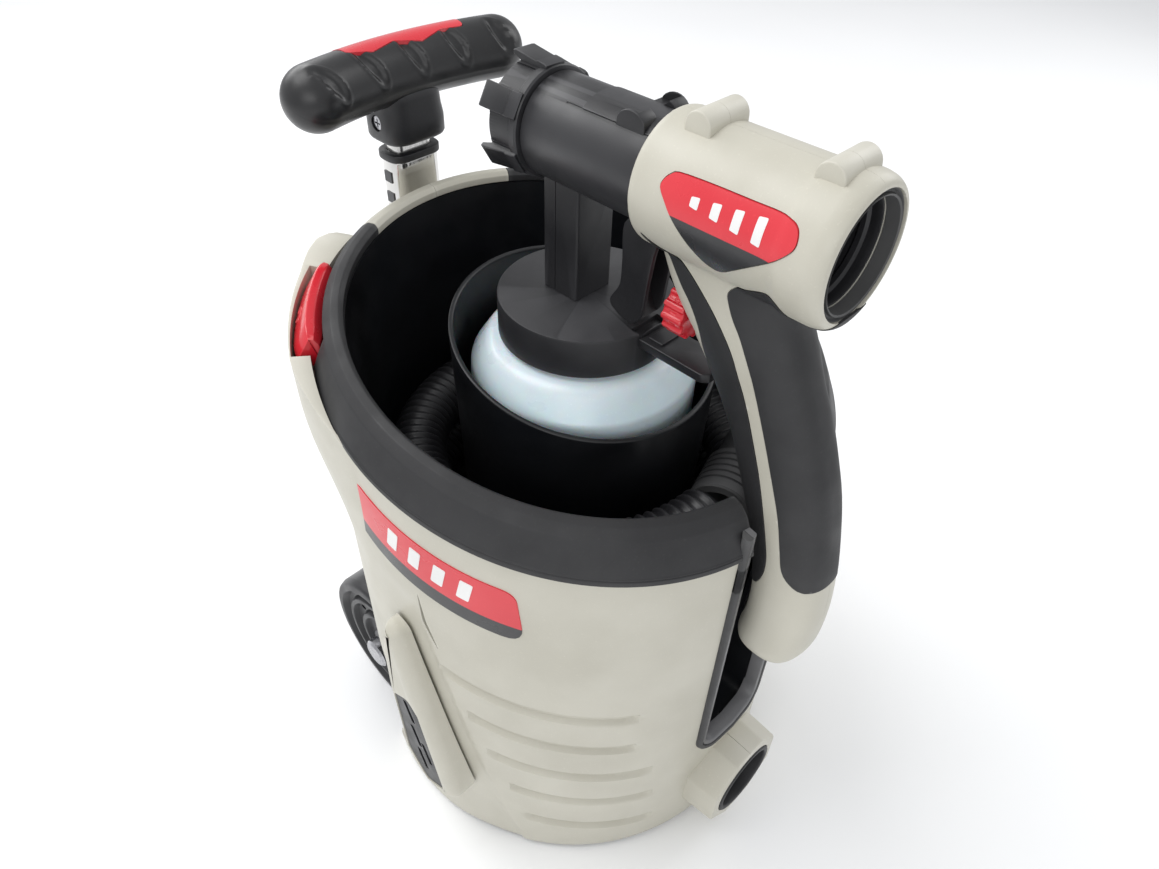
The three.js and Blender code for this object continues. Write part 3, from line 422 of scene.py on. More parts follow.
def join(obj, tool, operation):
    """Cuts obj by tool, or unites or intersects them. tool is used up."""
    before = len(obj.data.polygons)
    kept = obj.data.copy()
    for solver in ("MANIFOLD", "EXACT"):
        modifier = obj.modifiers.new("join", "BOOLEAN")
        modifier.operation = operation
        modifier.solver = solver
        modifier.object = tool
        apply_modifiers(obj)
        if len(obj.data.polygons) > 0:
            break
        print("JOIN failed", solver, operation, obj.name, tool.name, before)
        obj.data = kept.copy()
    bpy.data.meshes.remove(kept)
    bpy.data.objects.remove(tool)
    return obj


def cut(obj, *tools):
    for tool in tools:
        join(obj, tool, "DIFFERENCE")
    return obj


def unite(obj, *tools):
    for tool in tools:
        join(obj, tool, "UNION")
    return obj


def common(obj, tool):
    return join(obj, tool, "INTERSECT")


def copy_of(obj, name):
    made = obj.copy()
    made.data = obj.data.copy()
    made.name = name
    bpy.context.scene.collection.objects.link(made)
    return made


def swell(obj, amount):
    """Moves every point of obj outwards along its normal by an amount in millimetres."""
    work = bmesh.new()
    work.from_mesh(obj.data)
    work.normal_update()
    shifts = [vertex.normal * amount * MM for vertex in work.verts]
    for vertex, shift in zip(work.verts, shifts):
        vertex.co += shift
    work.to_mesh(obj.data)
    work.free()
    return obj


def remesh(obj, voxel, smooth=0):
    """Turns united solids into one skin with soft inner corners."""
    modifier = obj.modifiers.new("skin", "REMESH")
    modifier.mode = "VOXEL"
    modifier.voxel_size = voxel * MM
    if smooth:
        relax = obj.modifiers.new("relax", "SMOOTH")
        relax.iterations = smooth
        relax.factor = 0.5
    return apply_modifiers(obj)


def piece(obj, body, look, replaces=(), sharp=32):
    """Gives obj its body, finish and shading, and hides the CAD nodes it stands for."""
    obj.data.materials.clear()
    obj.data.materials.append(LOOKS[look])
    for polygon in obj.data.polygons:
        polygon.use_smooth = True
    obj.data.set_sharp_from_angle(angle=math.radians(sharp))
    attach(obj, body)
    if replaces:
        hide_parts(*replaces)
    return obj


# ---------- hose ----------
def hose_route():
    """The coil in the well: from the lower fitting up to the upper one, a diameter apart."""
    start, end, low, high = 116.0, 988.0, 158.5, 235.5
    count = 60
    route = []
    for k in range(count + 1):
        share = k / count
        angle = math.radians(start + (end - start) * share)
        route.append((HOSE_TURN_R * math.cos(angle), HOSE_TURN_R * math.sin(angle),
                      low + (high - low) * share))
    return route, math.radians(end - start)


def hose():
    route, swing = hose_route()
    rise = route[-1][2] - route[0][2]
    length = math.hypot(HOSE_TURN_R * swing, rise)
    pitch, per, around = 5.5, 6, 26
    waves = [0.0, 0.15, 0.75, 1.0, 0.75, 0.15]
    count = int(length / pitch) * per
    first = math.atan2(route[0][1], route[0][0])
    loops = []
    for k in range(count + 1):
        share = k / count
        angle = first + swing * share
        radius = HOSE_R - 1.7 * (1 - waves[k % per])
        loop = []
        for j in range(around):
            turn = math.tau * j / around
            reach = HOSE_TURN_R + radius * math.cos(turn)
            height = route[0][2] + rise * share + radius * math.sin(turn)
            loop.append((reach * math.cos(angle), reach * math.sin(angle), height))
        loops.append(loop)
    tube = piece(rings("hose", loops), "base", "black", ["hose_coil"], 50)
    cuffs = [hose_cuff("hose_fitting_lower", 100, 157.5, 15.8, 21, "hose_cuff_lower"),
             hose_cuff("hose_fitting_upper", -72, 237, 16.8, 27, "hose_cuff_upper")]
    metres = [(x * MM + AXIS_X, y * MM + AXIS_Y, z * MM) for x, y, z in route]
    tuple(metres[0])


def hose_cuff(name, azimuth, height, radius, half, node):
    """A two-step fitting along the coil, with grip ribs on its thicker step."""
    turn = math.radians(azimuth)
    out = Vector((math.cos(turn), math.sin(turn), 0))
    along = Vector((-math.sin(turn), math.cos(turn), 0))
    middle = out * HOSE_TURN_R + Vector((0, 0, height))

    def place(r, s, angle):
        return tuple(middle + along * s + out * r * math.cos(angle) + Vector((0, 0, r * math.sin(angle))))

    step = radius - 2.4
    outer = [(12.2, half), (step - 0.8, half), (step, half - 0.8), (step, 4), (radius - 0.8, 2.6),
             (radius, 1.6)]
    s = 0.0
    while s > -half + 5:
        outer += [(radius, s - 1.6), (radius - 0.7, s - 2.0), (radius - 0.7, s - 2.8), (radius, s - 3.2)]
        s -= 4.4
    outer += [(radius, -half + 0.9), (radius - 0.9, -half), (12.2, -half)]
    return piece(turned(name, outer, place, steps=56), "base", "grey", [node], 28)


# ---------- drum ----------
GROOVES = [(173.0, -168, -121), (143.5, -162, -121), (114.0, -157, -116), (84.5, -152, -115),
           (54.0, -148, -114)]
FAIRING = [(109, 0), (112, 5), (114, 12), (117, 15.4), (121, 15.2), (128, 12.6), (140, 11.4), (151, 10.6),
           (155, 9.2), (162, 5.6), (168, 2.6), (174, 0)]
FAIRING_TOP = [(105, 0), (109, 5), (113, 9.5), (118, 9.5), (152, 8.6), (160, 6), (168, 3), (174, 0)]
BACK_RIM = (67.2, 112.8)
RIM = [(111.5, 299.5), (111.5, 303.2, 0.8), (113.2, 305, 1.2), (117, 304.2, 2), (121, 300.6, 3),
       (124.6, 293, 6),
       (127.2, 286.6, 2), (127.8, 285.9, 0.3), (127.1, 285.3, 0.3), (127.8, 284.7, 0.3), (128, 282, 0.6),
       (125, 282, 0.2), (122.5, 290.5, 2), (118.5, 297, 2), (115, 299.5, 0.2)]


def degrees(angle):
    """An azimuth from -180 to 180."""
    return (math.degrees(angle) + 180) % 360 - 180


def groove_depth(azimuth, height):
    depth = 0.0
    for level, start, end in GROOVES:
        up = height - level
        if abs(up) > 8:
            continue
        up = up if up > 0 else 0.62 * up
        for low, high in ((start, end), (-180 - end, -180 - start)):
            beyond = max(0.0, low + 1.6 - azimuth, azimuth - high + 1.6)
            away = math.hypot(math.radians(beyond) * DRUM_R, up)
            depth = max(depth, 2.8 * smooth_step(3.7, 2.0, away))
    return depth


def crease_depth(azimuth, height):
    """The diagonal step where the grooved panel stands proud of the side."""
    if height > 222:
        return 0.0
    for mirrored in (azimuth, -180 - azimuth):
        edge = -173 + (210 - height) * 25 / 210
        gap = (edge - mirrored + 180) % 360 - 180
        if 0 <= gap < 24:
            return 1.5 * smooth_step(0, 0.9, gap) * smooth_step(24, 6, gap) * smooth_step(222, 200, height)
    return 0.0


def fairing_rise(azimuth, height):
    return lerp(FAIRING, azimuth) * smooth_step(188, 266, height) if azimuth > 0 else 0.0


def wall_rows():
    rows = {3.0, 3.5, 4.6, 7.0, 12.0, WALL_TOP - 0.2, WALL_TOP - 1.2}
    for level, _, _ in GROOVES:
        rows |= {level + step for step in (-7, -5.6, -4.6, -3.6, -2.6, -1.6, 0, 1.2, 2, 2.8, 3.6, 4.8)}
    rows |= {float(z) for z in range(18, 280, 6)}
    kept = []
    for z in sorted(rows):
        if not kept or z - kept[-1] > 0.45:
            kept.append(z)
    return kept


def drum_wall(name, swollen=0.0):
    azimuths = [float(a) for a in range(-180, -174, 2)]
    azimuths += [-174 + 1.1 * k for k in range(153)] + [-5.5 + 2.2 * k for k in range(50)]
    azimuths += [104.6 + 1.1 * k for k in range(66)]
    azimuths = [a for a in azimuths if a < 179.4]
    loops = []
    for azimuth in azimuths:
        angle = math.radians(azimuth)
        loop = []
        lift = lerp(FAIRING_TOP, azimuth) if azimuth > 0 else 0.0
        for height in wall_rows():
            radius = DRUM_R + fairing_rise(azimuth, height) - groove_depth(azimuth, height)
            radius -= crease_depth(azimuth, height) + 0.8 * smooth_step(5, 3, height)
            raised = height + lift * smooth_step(262, WALL_TOP - 0.2, height)
            loop.append((radius + swollen, raised, height))
        radius, raised, height = loop[-1]
        loop.append((radius - 0.7, raised + 0.3, height))
        lip = min(radius - 1.0, 128.2)
        loop += [(lip, raised + 0.3, height), (lip, WALL_TOP, height), (WALL_IN, WALL_TOP, height),
                 (WALL_IN, 3.0, 3.0)]
        ring = []
        for radius, raised, height in loop:
            y = radius * math.sin(angle)
            ring.append((radius * math.cos(angle), y, raised + y * SLOPE * smooth_step(3, 50, height)))
        loops.append(ring)
    return rings(name, loops, wrap=True)


def slot_outline(half, bottom, corner):
    return rounded([(-half, 420, 0), (-half, bottom, corner), (half, bottom, corner), (half, 420, 0)],
                   steps=8)


def slot_tool(half, bottom, corner):
    return prism("slot_tool", slot_outline(half, bottom, corner), -170, -60, front, 0)


def slanted_z(radius, height, angle):
    y = radius * math.sin(angle)
    return (radius * math.cos(angle), y, height + y * SLOPE)


def sector_tool(inner, outer, start, end, low, high):
    profile = [(inner, low), (outer, low), (outer, high), (inner, high)]
    return turned("sector_tool", profile, slanted_z, start, end, 40)


def radial(azimuth):
    """A place function for shapes that stand on the drum's wall: u along it, v up, w outwards."""
    turn = math.radians(azimuth)

    def place(u, v, w):
        x = w * math.cos(turn) - u * math.sin(turn)
        y = w * math.sin(turn) + u * math.cos(turn)
        return (x, y, v + y * SLOPE)

    return place


def port_boss():
    loops = []
    for y, reach in ((-112, 33.0), (-128, 32.6), (-142.6, 31.6), (-143.6, 31.1), (PORT_FACE, 30.2)):
        octagon = [(reach * math.cos(math.radians(22.5 + 45 * k)),
                    reach * math.sin(math.radians(22.5 + 45 * k)), 3.5)
                   for k in range(8)]
        loops.append([(x, y, PORT_Z + z) for x, z in rounded(octagon)])
    return rings("port_boss", loops)


def wheel_tool(sign):
    def place(radius, x, angle):
        return (sign * x, WHEEL_Y + radius * math.cos(angle), WHEEL_R + radius * math.sin(angle))

    return turned("wheel_tool", [(0.01, 70), (57, 70), (57, 150), (0.01, 150)], place, steps=64)


def drum():
    wall = drum_wall("drum_wall")
    inner = turned("inner", [(0.01, -20), (WALL_IN, -20), (WALL_IN, 200), (0.01, 200)], steps=120)
    unite(wall, cut(port_boss(), inner))
    unite(wall, turned("back_rim", rounded(RIM), slanted_z, BACK_RIM[0], BACK_RIM[1], 40))
    bridge = [(WALL_IN, 270), (DRUM_R - 0.1, 270), (DRUM_R - 0.1, 285), (WALL_IN, 285)]
    unite(wall, turned("bridge", bridge, slanted_z, BACK_RIM[0], BACK_RIM[1], 40))
    bore = prism("bore", circle(23.8, 0, PORT_Z), -160, -100, front, 0)
    crescent = rounded([(-5.4, 228, 0.4), (-2.2, 206, 12), (4.4, 186, 0.4), (-4.4, 204, 12)], steps=6)
    cut(wall, slot_tool(SLOT_HALF + TRIM + 0.3, SLOT_BOTTOM - TRIM - 0.3, 14), bore, wheel_tool(1),
        wheel_tool(-1),
        sector_tool(118, 136.5, 125.3, 150.5, 276, 345), box("air_window", (-140, -18, 68), (-100, 2, 130)),
        prism("finger_slot", crescent, 118, 135, radial(-169.5), 0))
    right = copy_of(wall, "right_shell_skin")
    cut(wall, box("right_half", (-0.12, -300, -50), (300, 300, 500)))
    cut(right, box("left_half", (-300, -300, -50), (0.12, 300, 500)))
    wall.name = "left_shell_skin"
    piece(wall, "base", "beige", ["left_shell"], 38)
    piece(right, "base", "beige", ["right_shell"], 38)


def bezel():
    ring = turned("rim_ring", rounded(RIM), slanted_z, steps=220)
    cut(ring, sector_tool(60, 190, 67, 113, 240, 345), slot_tool(SLOT_HALF, SLOT_BOTTOM, 8),
        sector_tool(121, 150, 124.4, 151.2, 270, 345))
    piece(ring, "base", "grey", ["rim_bezel"], 34)
    slot_trim("slot_trim", "grey", [(3.1, -4), (3.1, 1.2), (3.5, 2.0), (5.0, 2.3), (6.0, 1.7), (6.4, 0.6),
                                    (6.4, -1)])
    slot_trim("slot_lip", "pale_grey", [(0, -7), (0, 0.2), (0.5, 0.9), (2.4, 1.5), (2.9, 1.0), (2.9, -4)])


def slot_trim(name, look, profile):
    """Sweeps a profile of (distance from the slot's edge, height over the wall) round the slot."""
    path = []
    for z in [296 - 12 * k for k in range(17)]:
        path.append((SLOT_HALF, z, 1, 0))
    for k in range(11):
        turn = math.pi / 2 * k / 10
        path.append((SLOT_HALF - 8 + 8 * math.cos(turn), SLOT_BOTTOM + 8 - 8 * math.sin(turn),
                     math.cos(turn), -math.sin(turn)))
    path += [(x, z, nx, nz) for x, z, nx, nz in [(0, SLOT_BOTTOM, 0, -1)]]
    path += [(-x, z, -nx, nz) for x, z, nx, nz in path[:-1][::-1]]
    loops = []
    for x, z, nx, nz in path:
        loop = []
        for away, rise in profile:
            u = x + nx * away
            y = -math.sqrt((DRUM_R + rise) ** 2 - u * u)
            drop = y * SLOPE if z > 250 else 0
            loop.append((u, y, z + nz * away + drop))
        loops.append(loop)
    piece(rings(name, loops), "base", look, (), 40)


def label():
    """A red panel with a dark lower band, in one thin curved plate, and a plain mark of slanted bars."""
    outline = rounded([(-46, 264.5, 2), (46, 264.5, 7), (49, 231, 9), (-49, 231, 4)], steps=5)
    band = rounded([(-52, 240.5, 0.1), (52, 240.5, 0.1), (52, 220, 0.1), (-52, 220, 0.1)])
    plate = drum_skin("plate", 0.5)
    body = common(plate, prism("outline", outline, 100, 140, radial(-169.5), 0))
    dark = copy_of(body, "label_band")
    cut(body, prism("band", band, 90, 150, radial(-169.5), 0))
    common(dark, prism("band", band, 90, 150, radial(-169.5), 0))
    body.name = "label_plate"
    piece(body, "base", "label_red", ["body_label"], 40)
    piece(dark, "base", "label_dark", (), 40)
    marks = []
    for k in range(4):
        u = -20 + 13 * k
        bar = rounded([(u, 246, 0.8), (u + 6, 246, 0.8), (u + 9, 259, 0.8), (u + 3, 259, 0.8)], steps=2)
        marks.append(prism("bar", bar, 100, 140, radial(-169.5), 0))
    mark = common(drum_skin("marks", 0.75), unite(*marks))
    mark.name = "label_bars"
    piece(mark, "base", "label_white", (), 40)


def drum_skin(name, proud):
    """A thin shell just outside the wall at the left, from which the label's plates are cut."""
    low, high = DRUM_R - 0.3, DRUM_R + proud
    profile = [(low, 215), (high, 215)] + [(high, 215 + 5 * k) for k in range(1, 12)] + [(low, 272)]
    return turned(name, profile, slanted_z, 155, 225, 60)


# ---------- tub and cup holder ----------
def well_z(low, high):
    """A place function whose slant grows from none at low to the rim's at high."""
    def place(radius, height, angle):
        y = radius * math.sin(angle)
        share = min(1.0, max(0.0, (height - low) / (high - low)))
        return (radius * math.cos(angle), y, height + y * SLOPE * share)

    return place


def tub():
    rows = [140 + 159.2 * k / 14 for k in range(15)]
    inner = [(105 + 6.45 * (z - 140) / 159.2, z) for z in rows]
    inner[0] = (98, 140.0)
    inner[1:1] = [(101.6, 140.8), (104.2, 143.2), (105.2, 147)]
    outer = [(107.5 + 6.5 * (z - 140) / 159.2, z) for z in rows]
    outer[0] = (107.5, 137)
    profile = [(0.01, 137)] + outer + inner[::-1] + [(0.01, 140)]
    wall = turned("tub_wall", profile, well_z(140, 299.2), steps=150)
    chute = box("chute", (-25.5, -118, 82), (25.5, -92, 138), 3)
    room = prism("room", slot_outline(SLOT_HALF, 85, 7), -135, -94.5, front, 0)
    hollow = turned("hollow", [(0.01, 140.01), (104, 140.01), (104, 200), (0.01, 200)], steps=60)
    unite(wall, cut(chute, hollow))
    cut(wall, room)
    piece(wall, "base", "well", ["inner_tub"], 40)


def holder():
    profile = rounded([(61.5, 140.4, 0.3), (62.5, 183, 20), (65.8, 294.4, 1.2), (63.2, 294.4, 1.2),
                       (60.4, 186, 3),
                       (57, 183.4, 2), (12, 183.4, 0.8), (12, 180.4, 0.8), (59, 180.4, 0.5),
                       (59, 140.4, 0.3)], steps=4)
    dense = []
    for (r0, z0), (r1, z1) in zip(profile, profile[1:] + profile[:1]):
        pieces = max(1, int(math.hypot(r1 - r0, z1 - z0) / 12))
        dense += [(r0 + (r1 - r0) * k / pieces, z0 + (z1 - z0) * k / pieces) for k in range(pieces)]
    piece(turned("cup_holder_wall", dense, well_z(183, 294), steps=110), "base", "well", ["cup_holder"], 30)


# ---------- spray gun ----------
# Front and rear points (y, z) of the handle's section, from the body down, and its half width.
HANDLE = [(-40, 378, -113, 384, 15.4), (-46, 366, -112, 368, 15.4), (-54, 352, -113, 357, 15.4),
          (-68, 335, -118, 346, 15.4), (-80, 319, -123.7, 333, 14.5), (-92, 300, -131.7, 317, 14.5),
          (-100, 282, -138.7, 300, 14.5), (-107, 265, -144.7, 283, 14.5), (-113, 249, -149.7, 262, 14.5),
          (-118, 230, -153.7, 240, 14.5), (-120, 212, -155.7, 219, 14.5), (-119.5, 196, -155.2, 198, 14.5),
          (-118, 187, -152.7, 187, 14.4), (-119, 180, -148.7, 179, 13.7), (-123, 176, -142.7, 175, 10.1)]
INLET_R = 21.5
SLEEVE_R = 21.4
TRIGGER_PIN = (-50, 403)


def handle_loft(name):
    loops = []
    power = 2 / 2.6
    for y0, z0, y1, z1, width in curved(HANDLE, 3, closed=False):
        front_end, back_end = Vector((y0, z0)), Vector((y1, z1))
        middle, reach = (front_end + back_end) / 2, (back_end - front_end) / 2
        loop = []
        for k in range(48):
            c, s = math.cos(math.tau * k / 48), math.sin(math.tau * k / 48)
            place = middle + reach * math.copysign(abs(c) ** power, c)
            loop.append((width * math.copysign(abs(s) ** power, s), place.x, place.y))
        loops.append(loop)
    return rings(name, loops)


def gun_skin():
    profile = [(0.01, -43), (25.4, -43), (26.3, -43.5), (27, -46), (27, -103), (27.3, -107), (28.5, -111),
               (28.5, -121.5), (27.8, -125), (26.4, -127.4), (25.2, -128), (0.01, -128)]
    body = turned("gun_body", profile, around_gun, steps=96)
    unite(body, handle_loft("handle"))
    return remesh(body, 0.8, 8)


def boss(y):
    outline = [(y - 5.8, GUN_Z + 18), (y - 5.8, GUN_Z + 26.7)]
    for k in range(1, 12):
        turn = math.pi * k / 12
        outline.append((y - 5.8 * math.cos(turn), GUN_Z + 26.7 + 5.8 * math.sin(turn)))
    outline += [(y + 5.8, GUN_Z + 26.7), (y + 5.8, GUN_Z + 18)]
    return prism("boss", outline, -11.5, 11.5, side, 0.7)


STRIP = [(-48.2, 378.6), (-53.2, 374.6), (-58.2, 371.6), (-64.2, 368.6), (-70.2, 364.6), (-77.2, 358.6),
         (-84.2, 351.6), (-92.2, 341.6),
         (-97.2, 331.6), (-103.2, 319.6), (-109.2, 305.6), (-116.2, 287.6), (-122.2, 268.6),
         (-126.2, 254.6), (-128.2, 245.6),
         (-128.2, 235.6), (-125.2, 226.6), (-119.2, 222.6), (-108.2, 221.6), (-94.2, 259.6), (-76.2, 307.6),
         (-80.2, 323.6), (-77.2, 335.6),
         (-74.2, 344.6), (-69.2, 352.6), (-64.2, 357.6), (-58.2, 364.6), (-52.2, 371.6)]
PAD = [(-87.2, 361.6), (-86.2, 365.6), (-89.2, 369.6), (-96.2, 373.6), (-103.2, 377.6), (-108.2, 379.1),
       (-111.7, 376.6), (-114.2, 370.6),
       (-119.2, 365.6), (-148.2, 369.6), (-178.2, 297.6), (-170.2, 247.6), (-158.2, 242.6), (-148.2, 238.6),
       (-141.2, 240.6), (-136.2, 245.6),
       (-133.2, 255.6), (-128.2, 273.6), (-121.2, 291.6), (-114.2, 308.6), (-106.2, 326.6), (-101.2, 337.6),
       (-95.2, 348.6), (-90.2, 355.6)]
BADGE = [(-57.8, 401), (-58.3, 404), (-60.3, 406.3), (-63.5, 407.6), (-77, 408.2), (-94, 408.4),
         (-109, 408.6),
         (-113.4, 407.6), (-115.4, 405), (-115.8, 401.5), (-113.7, 398.2), (-108, 393), (-99.8, 387.2),
         (-92.7, 382.1), (-88, 378.6), (-84.6, 377.6), (-80.1, 378.8), (-74.6, 382.9), (-69.3, 387.8),
         (-64.3, 392.9),
         (-61.2, 396.8)]
BADGE_SPLIT = 393.2


def inlay(skin, hollow, outline, name):
    """A plate that follows the skin inside an outline, a hair proud of it."""
    plate = common(copy_of(skin, name), prism("outline", curved(inset(outline, 0.35), 3), -40, 40, side, 0))
    return cut(plate, copy_of(hollow, "core"))


def recess(body, hollow, outline):
    tool = prism("recess", curved(outline, 3), -40, 40, side, 0)
    cut(tool, copy_of(hollow, "core"))
    cut(body, tool)


def gun():
    skin = gun_skin()
    outer = swell(copy_of(skin, "outer"), 0.35)
    hollow = swell(copy_of(skin, "hollow"), -1.1)
    knob_room = prism("knob_room", circle(12.4, 0, 338), -72, -40, front, 0)
    strip = inlay(outer, hollow, STRIP, "front_strip")
    cut(strip, copy_of(knob_room, "room"))
    pad = inlay(outer, hollow, PAD, "rear_pad")
    badge = inlay(outer, hollow, BADGE, "badge_red")
    for outline in (STRIP, PAD, BADGE):
        recess(skin, hollow, outline)
    unite(skin, boss(-60.6), boss(-114))
    bore = turned("bore", [(0.01, -140), (24.2, -140), (24.2, -123.5), (22.6, -123.5), (22.6, -121.5),
                           (INLET_R, -121.5), (INLET_R, -64), (0.01, -64)], around_gun, steps=72)
    sleeve = turned("sleeve", [(0.01, -70), (SLEEVE_R + 0.3, -70), (SLEEVE_R + 0.3, -30), (0.01, -30)],
                    around_gun, steps=72)
    cut(skin, bore, sleeve, knob_room, box("trigger_room", (-9.2, -60, 362), (9.2, -24, 386)))
    for y, z in ((-61.5, 354), (-77, 330)):
        cut(skin, prism("screw_ring", circle(1.9, y, z, 20), -30, -16.4, side, 0.2))
    right = copy_of(skin, "gun_skin_right")
    cut(skin, box("right_half", (-0.06, -200, 100), (60, 0, 500)))
    cut(right, box("left_half", (-60, -200, 100), (0.06, 0, 500)))
    skin.name = "gun_skin_left"
    piece(skin, "spray_gun", "beige", ["gun_shell_left"], 36)
    piece(right, "spray_gun", "beige", ["gun_shell_right"], 36)
    piece(strip, "spray_gun", "grey", ["front_grip_strip"], 40)
    piece(pad, "spray_gun", "grey", ["rear_grip_pad"], 40)
    finish_badge(badge)
    bpy.data.objects.remove(outer)
    bpy.data.objects.remove(hollow)
    inlet()


def finish_badge(badge):
    """Red above, black below, with a plain pale mark of a spray cone."""
    dark = copy_of(badge, "badge_black")
    cut(badge, box("low", (-40, -130, 360), (40, -50, BADGE_SPLIT)))
    common(dark, box("low", (-40, -130, 360), (40, -50, BADGE_SPLIT)))
    marks = []
    for k in range(4):
        y = -72 - 9 * k
        half = 1.6 + 0.9 * k
        slant_bar = rounded([(y, 401 - half, 0.5), (y - 3.6, 401 - half - 0.5, 0.5),
                             (y - 3.6, 401 + half + 0.5, 0.5),
                             (y, 401 + half, 0.5)], steps=2)
        marks.append(prism("bar", slant_bar, -40, 40, side, 0))
    white = common(swell(copy_of(badge, "badge_mark"), 0.12), unite(*marks))
    piece(badge, "spray_gun", "label_red", (), 40)
    piece(dark, "spray_gun", "label_dark", (), 40)
    piece(white, "spray_gun", "label_white", (), 40)


def inlet():
    rim = [(24.0, -126.8), (24.0, -123.8), (22.4, -123.8), (22.4, -121.8), (21.2, -121.8), (21.2, -127.2),
           (21.9, -127.6), (22.3, -126.4), (23.2, -126.2)]
    piece(turned("inlet_rim", rim, around_gun, steps=84), "spray_gun", "grey", ["inlet_ring"], 30)
    liner = [(21.2, -121.2), (21.2, -65), (19.2, -64.3), (0.01, -64.3), (0.01, -66), (19, -66),
             (19.6, -100),
             (18.6, -101), (18.6, -104), (20, -105), (20, -113), (19, -114), (19, -116), (20.2, -117),
             (20.2, -121.2)]
    piece(turned("inlet_liner", liner, around_gun, steps=84), "spray_gun", "black", (), 30)


def barrel():
    profile = [(19.6, 28.6), (19.2, 29), (17.2, 29), (17.2, 21), (8.2, 21), (8.2, 0), (18, -2), (18, -57),
               (SLEEVE_R, -57), (SLEEVE_R, -42.8), (21.8, -42.8), (21.8, 19.6), (21.4, 20.2), (19.6, 20.4)]
    tube = turned("barrel_tube", profile, around_gun, steps=96)
    bore = turned("bore", [(0.01, -60), (18.2, -60), (18.2, -2), (8.2, 0), (8.2, 30), (0.01, 30)],
                  around_gun, steps=48)
    neck_outline = rounded([(-11.5, -4, 1.3), (11.5, -4, 1.3), (11.5, 17, 1.3), (-11.5, 17, 1.3)], steps=3)
    neck = prism("neck", neck_outline, LID_TOP + 0.3, GUN_Z - 8, plan, 0)
    seam = prism("seam", [(9.2, 321), (9.6, 321), (9.6, 380), (9.2, 380)], -12.2, -11.1, side, 0)
    top = turned("top_panel", [(17.8, -42.8), (22.3, -42.8), (22.3, -6.6), (21.9, -6.2), (17.8, -6.2)],
                 around_gun,
                 54, 126, 24)
    line = turned("line", [(21.5, -7), (22.1, -7), (22.1, 2), (21.5, 2)], around_gun, 125, 127, 2)
    unite(tube, cut(neck, bore), top)
    for sign in (-1, 1):
        unite(tube, thumb_fin(sign))
    pin_hole = prism("pin_hole", circle(2.2, *TRIGGER_PIN, 20), -30, 30, side, 0)
    neck_bore = prism("neck_bore", circle(5, 0, 6.5, 24), 300, GUN_Z - 2, plan, 0)
    cut(tube, box("trigger_slot", (-9.2, -60, 362), (9.2, -24, 386)), pin_hole, neck_bore, seam, line)
    piece(tube, "spray_gun", "black", ["barrel"], 34)


def thumb_fin(sign):
    """A rounded lug just ahead of the rear body, scooped out on its inner side."""
    outline = [(-38.5, GUN_Z + 14)]
    for k in range(13):
        turn = math.pi * k / 12
        outline.append((-31.5 - 7 * math.cos(turn), GUN_Z + 19 + 5.6 * math.sin(turn)))
    outline.append((-24.5, GUN_Z + 14))
    low, high = sorted((sign * 5.5, sign * 13.4))
    lug = prism("fin", outline, low, high, side, 0.5)
    scoop = prism("scoop", circle(8.5, -27.5, GUN_Z + 29.2, 32), *sorted((sign * 2, sign * 12.2)), side, 0)
    return cut(lug, scoop)


def lock_ring():
    profile = [(20.1, 21), (23.2, 21), (23.9, 21.8), (23.9, 24.6), (23.2, 25.4), (23.4, 36.6), (22.8, 38),
               (17.5, 38),
               (17.5, 36.4), (20.1, 32.5)]
    ring = turned("lock_ring_body", profile, around_gun, steps=96)
    block = [(21.2, 21.8), (24.4, 21.4), (25.0, 23), (25.4, 26.6), (24.9, 27.6), (26.6, 39.6), (26.2, 41),
             (24.6, 41.2),
             (23, 37), (21.2, 36)]
    for k in range(6):
        angle = math.radians(30 + 60 * k)
        out = Vector((math.cos(angle), math.sin(angle)))
        across = Vector((-math.sin(angle), math.cos(angle)))

        def place(r, y, w, out=out, across=across):
            spot = out * r + across * w
            return (spot.x, y, GUN_Z + spot.y)

        unite(ring, prism("prong", block, -5.4, 5.4, place, 0.5))
        slit = turned("slit", [(22.6, 26.4), (24, 26.4), (24, 39), (22.6, 39)], around_gun, 60 * k - 14.2,
                      60 * k + 14.2, 10)
        cut(ring, slit)
    piece(ring, "lock_ring", "black", ["lock_ring"], 30)
    cap_profile = [(8.6, 29.6), (19.6, 29.6), (19.6, 32), (16.5, 36.6), (15.6, 37), (8.4, 37), (5.4, 34.6)]
    cap = turned("air_cap_body", cap_profile, around_gun, steps=72)
    for x in (-12, 12):
        unite(cap, box("horn", (x - 3.5, 33, GUN_Z - 3.5), (x + 3.5, 41.5, GUN_Z + 3.5), 0.8))
    piece(cap, "lock_ring", "black", ["air_cap"], 30)


def trigger():
    outline = curved([(-27, 368), (-27, 352), (-26.6, 339), (-22.6, 331.5), (-21.4, 328), (-24, 324.6),
                      (-33, 321.6),
                      (-39.6, 327.4), (-42, 345), (-45, 364), (-52, 375), (-56, 386), (-56, 400),
                      (-52, 406.6),
                      (-47, 406.6), (-44.5, 401), (-43, 388), (-37, 378)], 4)
    channel = [(-70, 300), (-36, 326.5), (-32.5, 338), (-33, 352), (-34, 366), (-39, 376), (-30, 384),
               (-30, 420),
               (-70, 420)]
    blade = prism("trigger_blade", outline, -8, 8, side, 0.9)
    cut(blade, prism("channel", channel, -5.6, 5.6, side, 0))
    cut(blade, prism("pin_hole", circle(2.2, *TRIGGER_PIN, 20), -30, 30, side, 0))
    piece(blade, "trigger", "black", ["trigger"], 36)


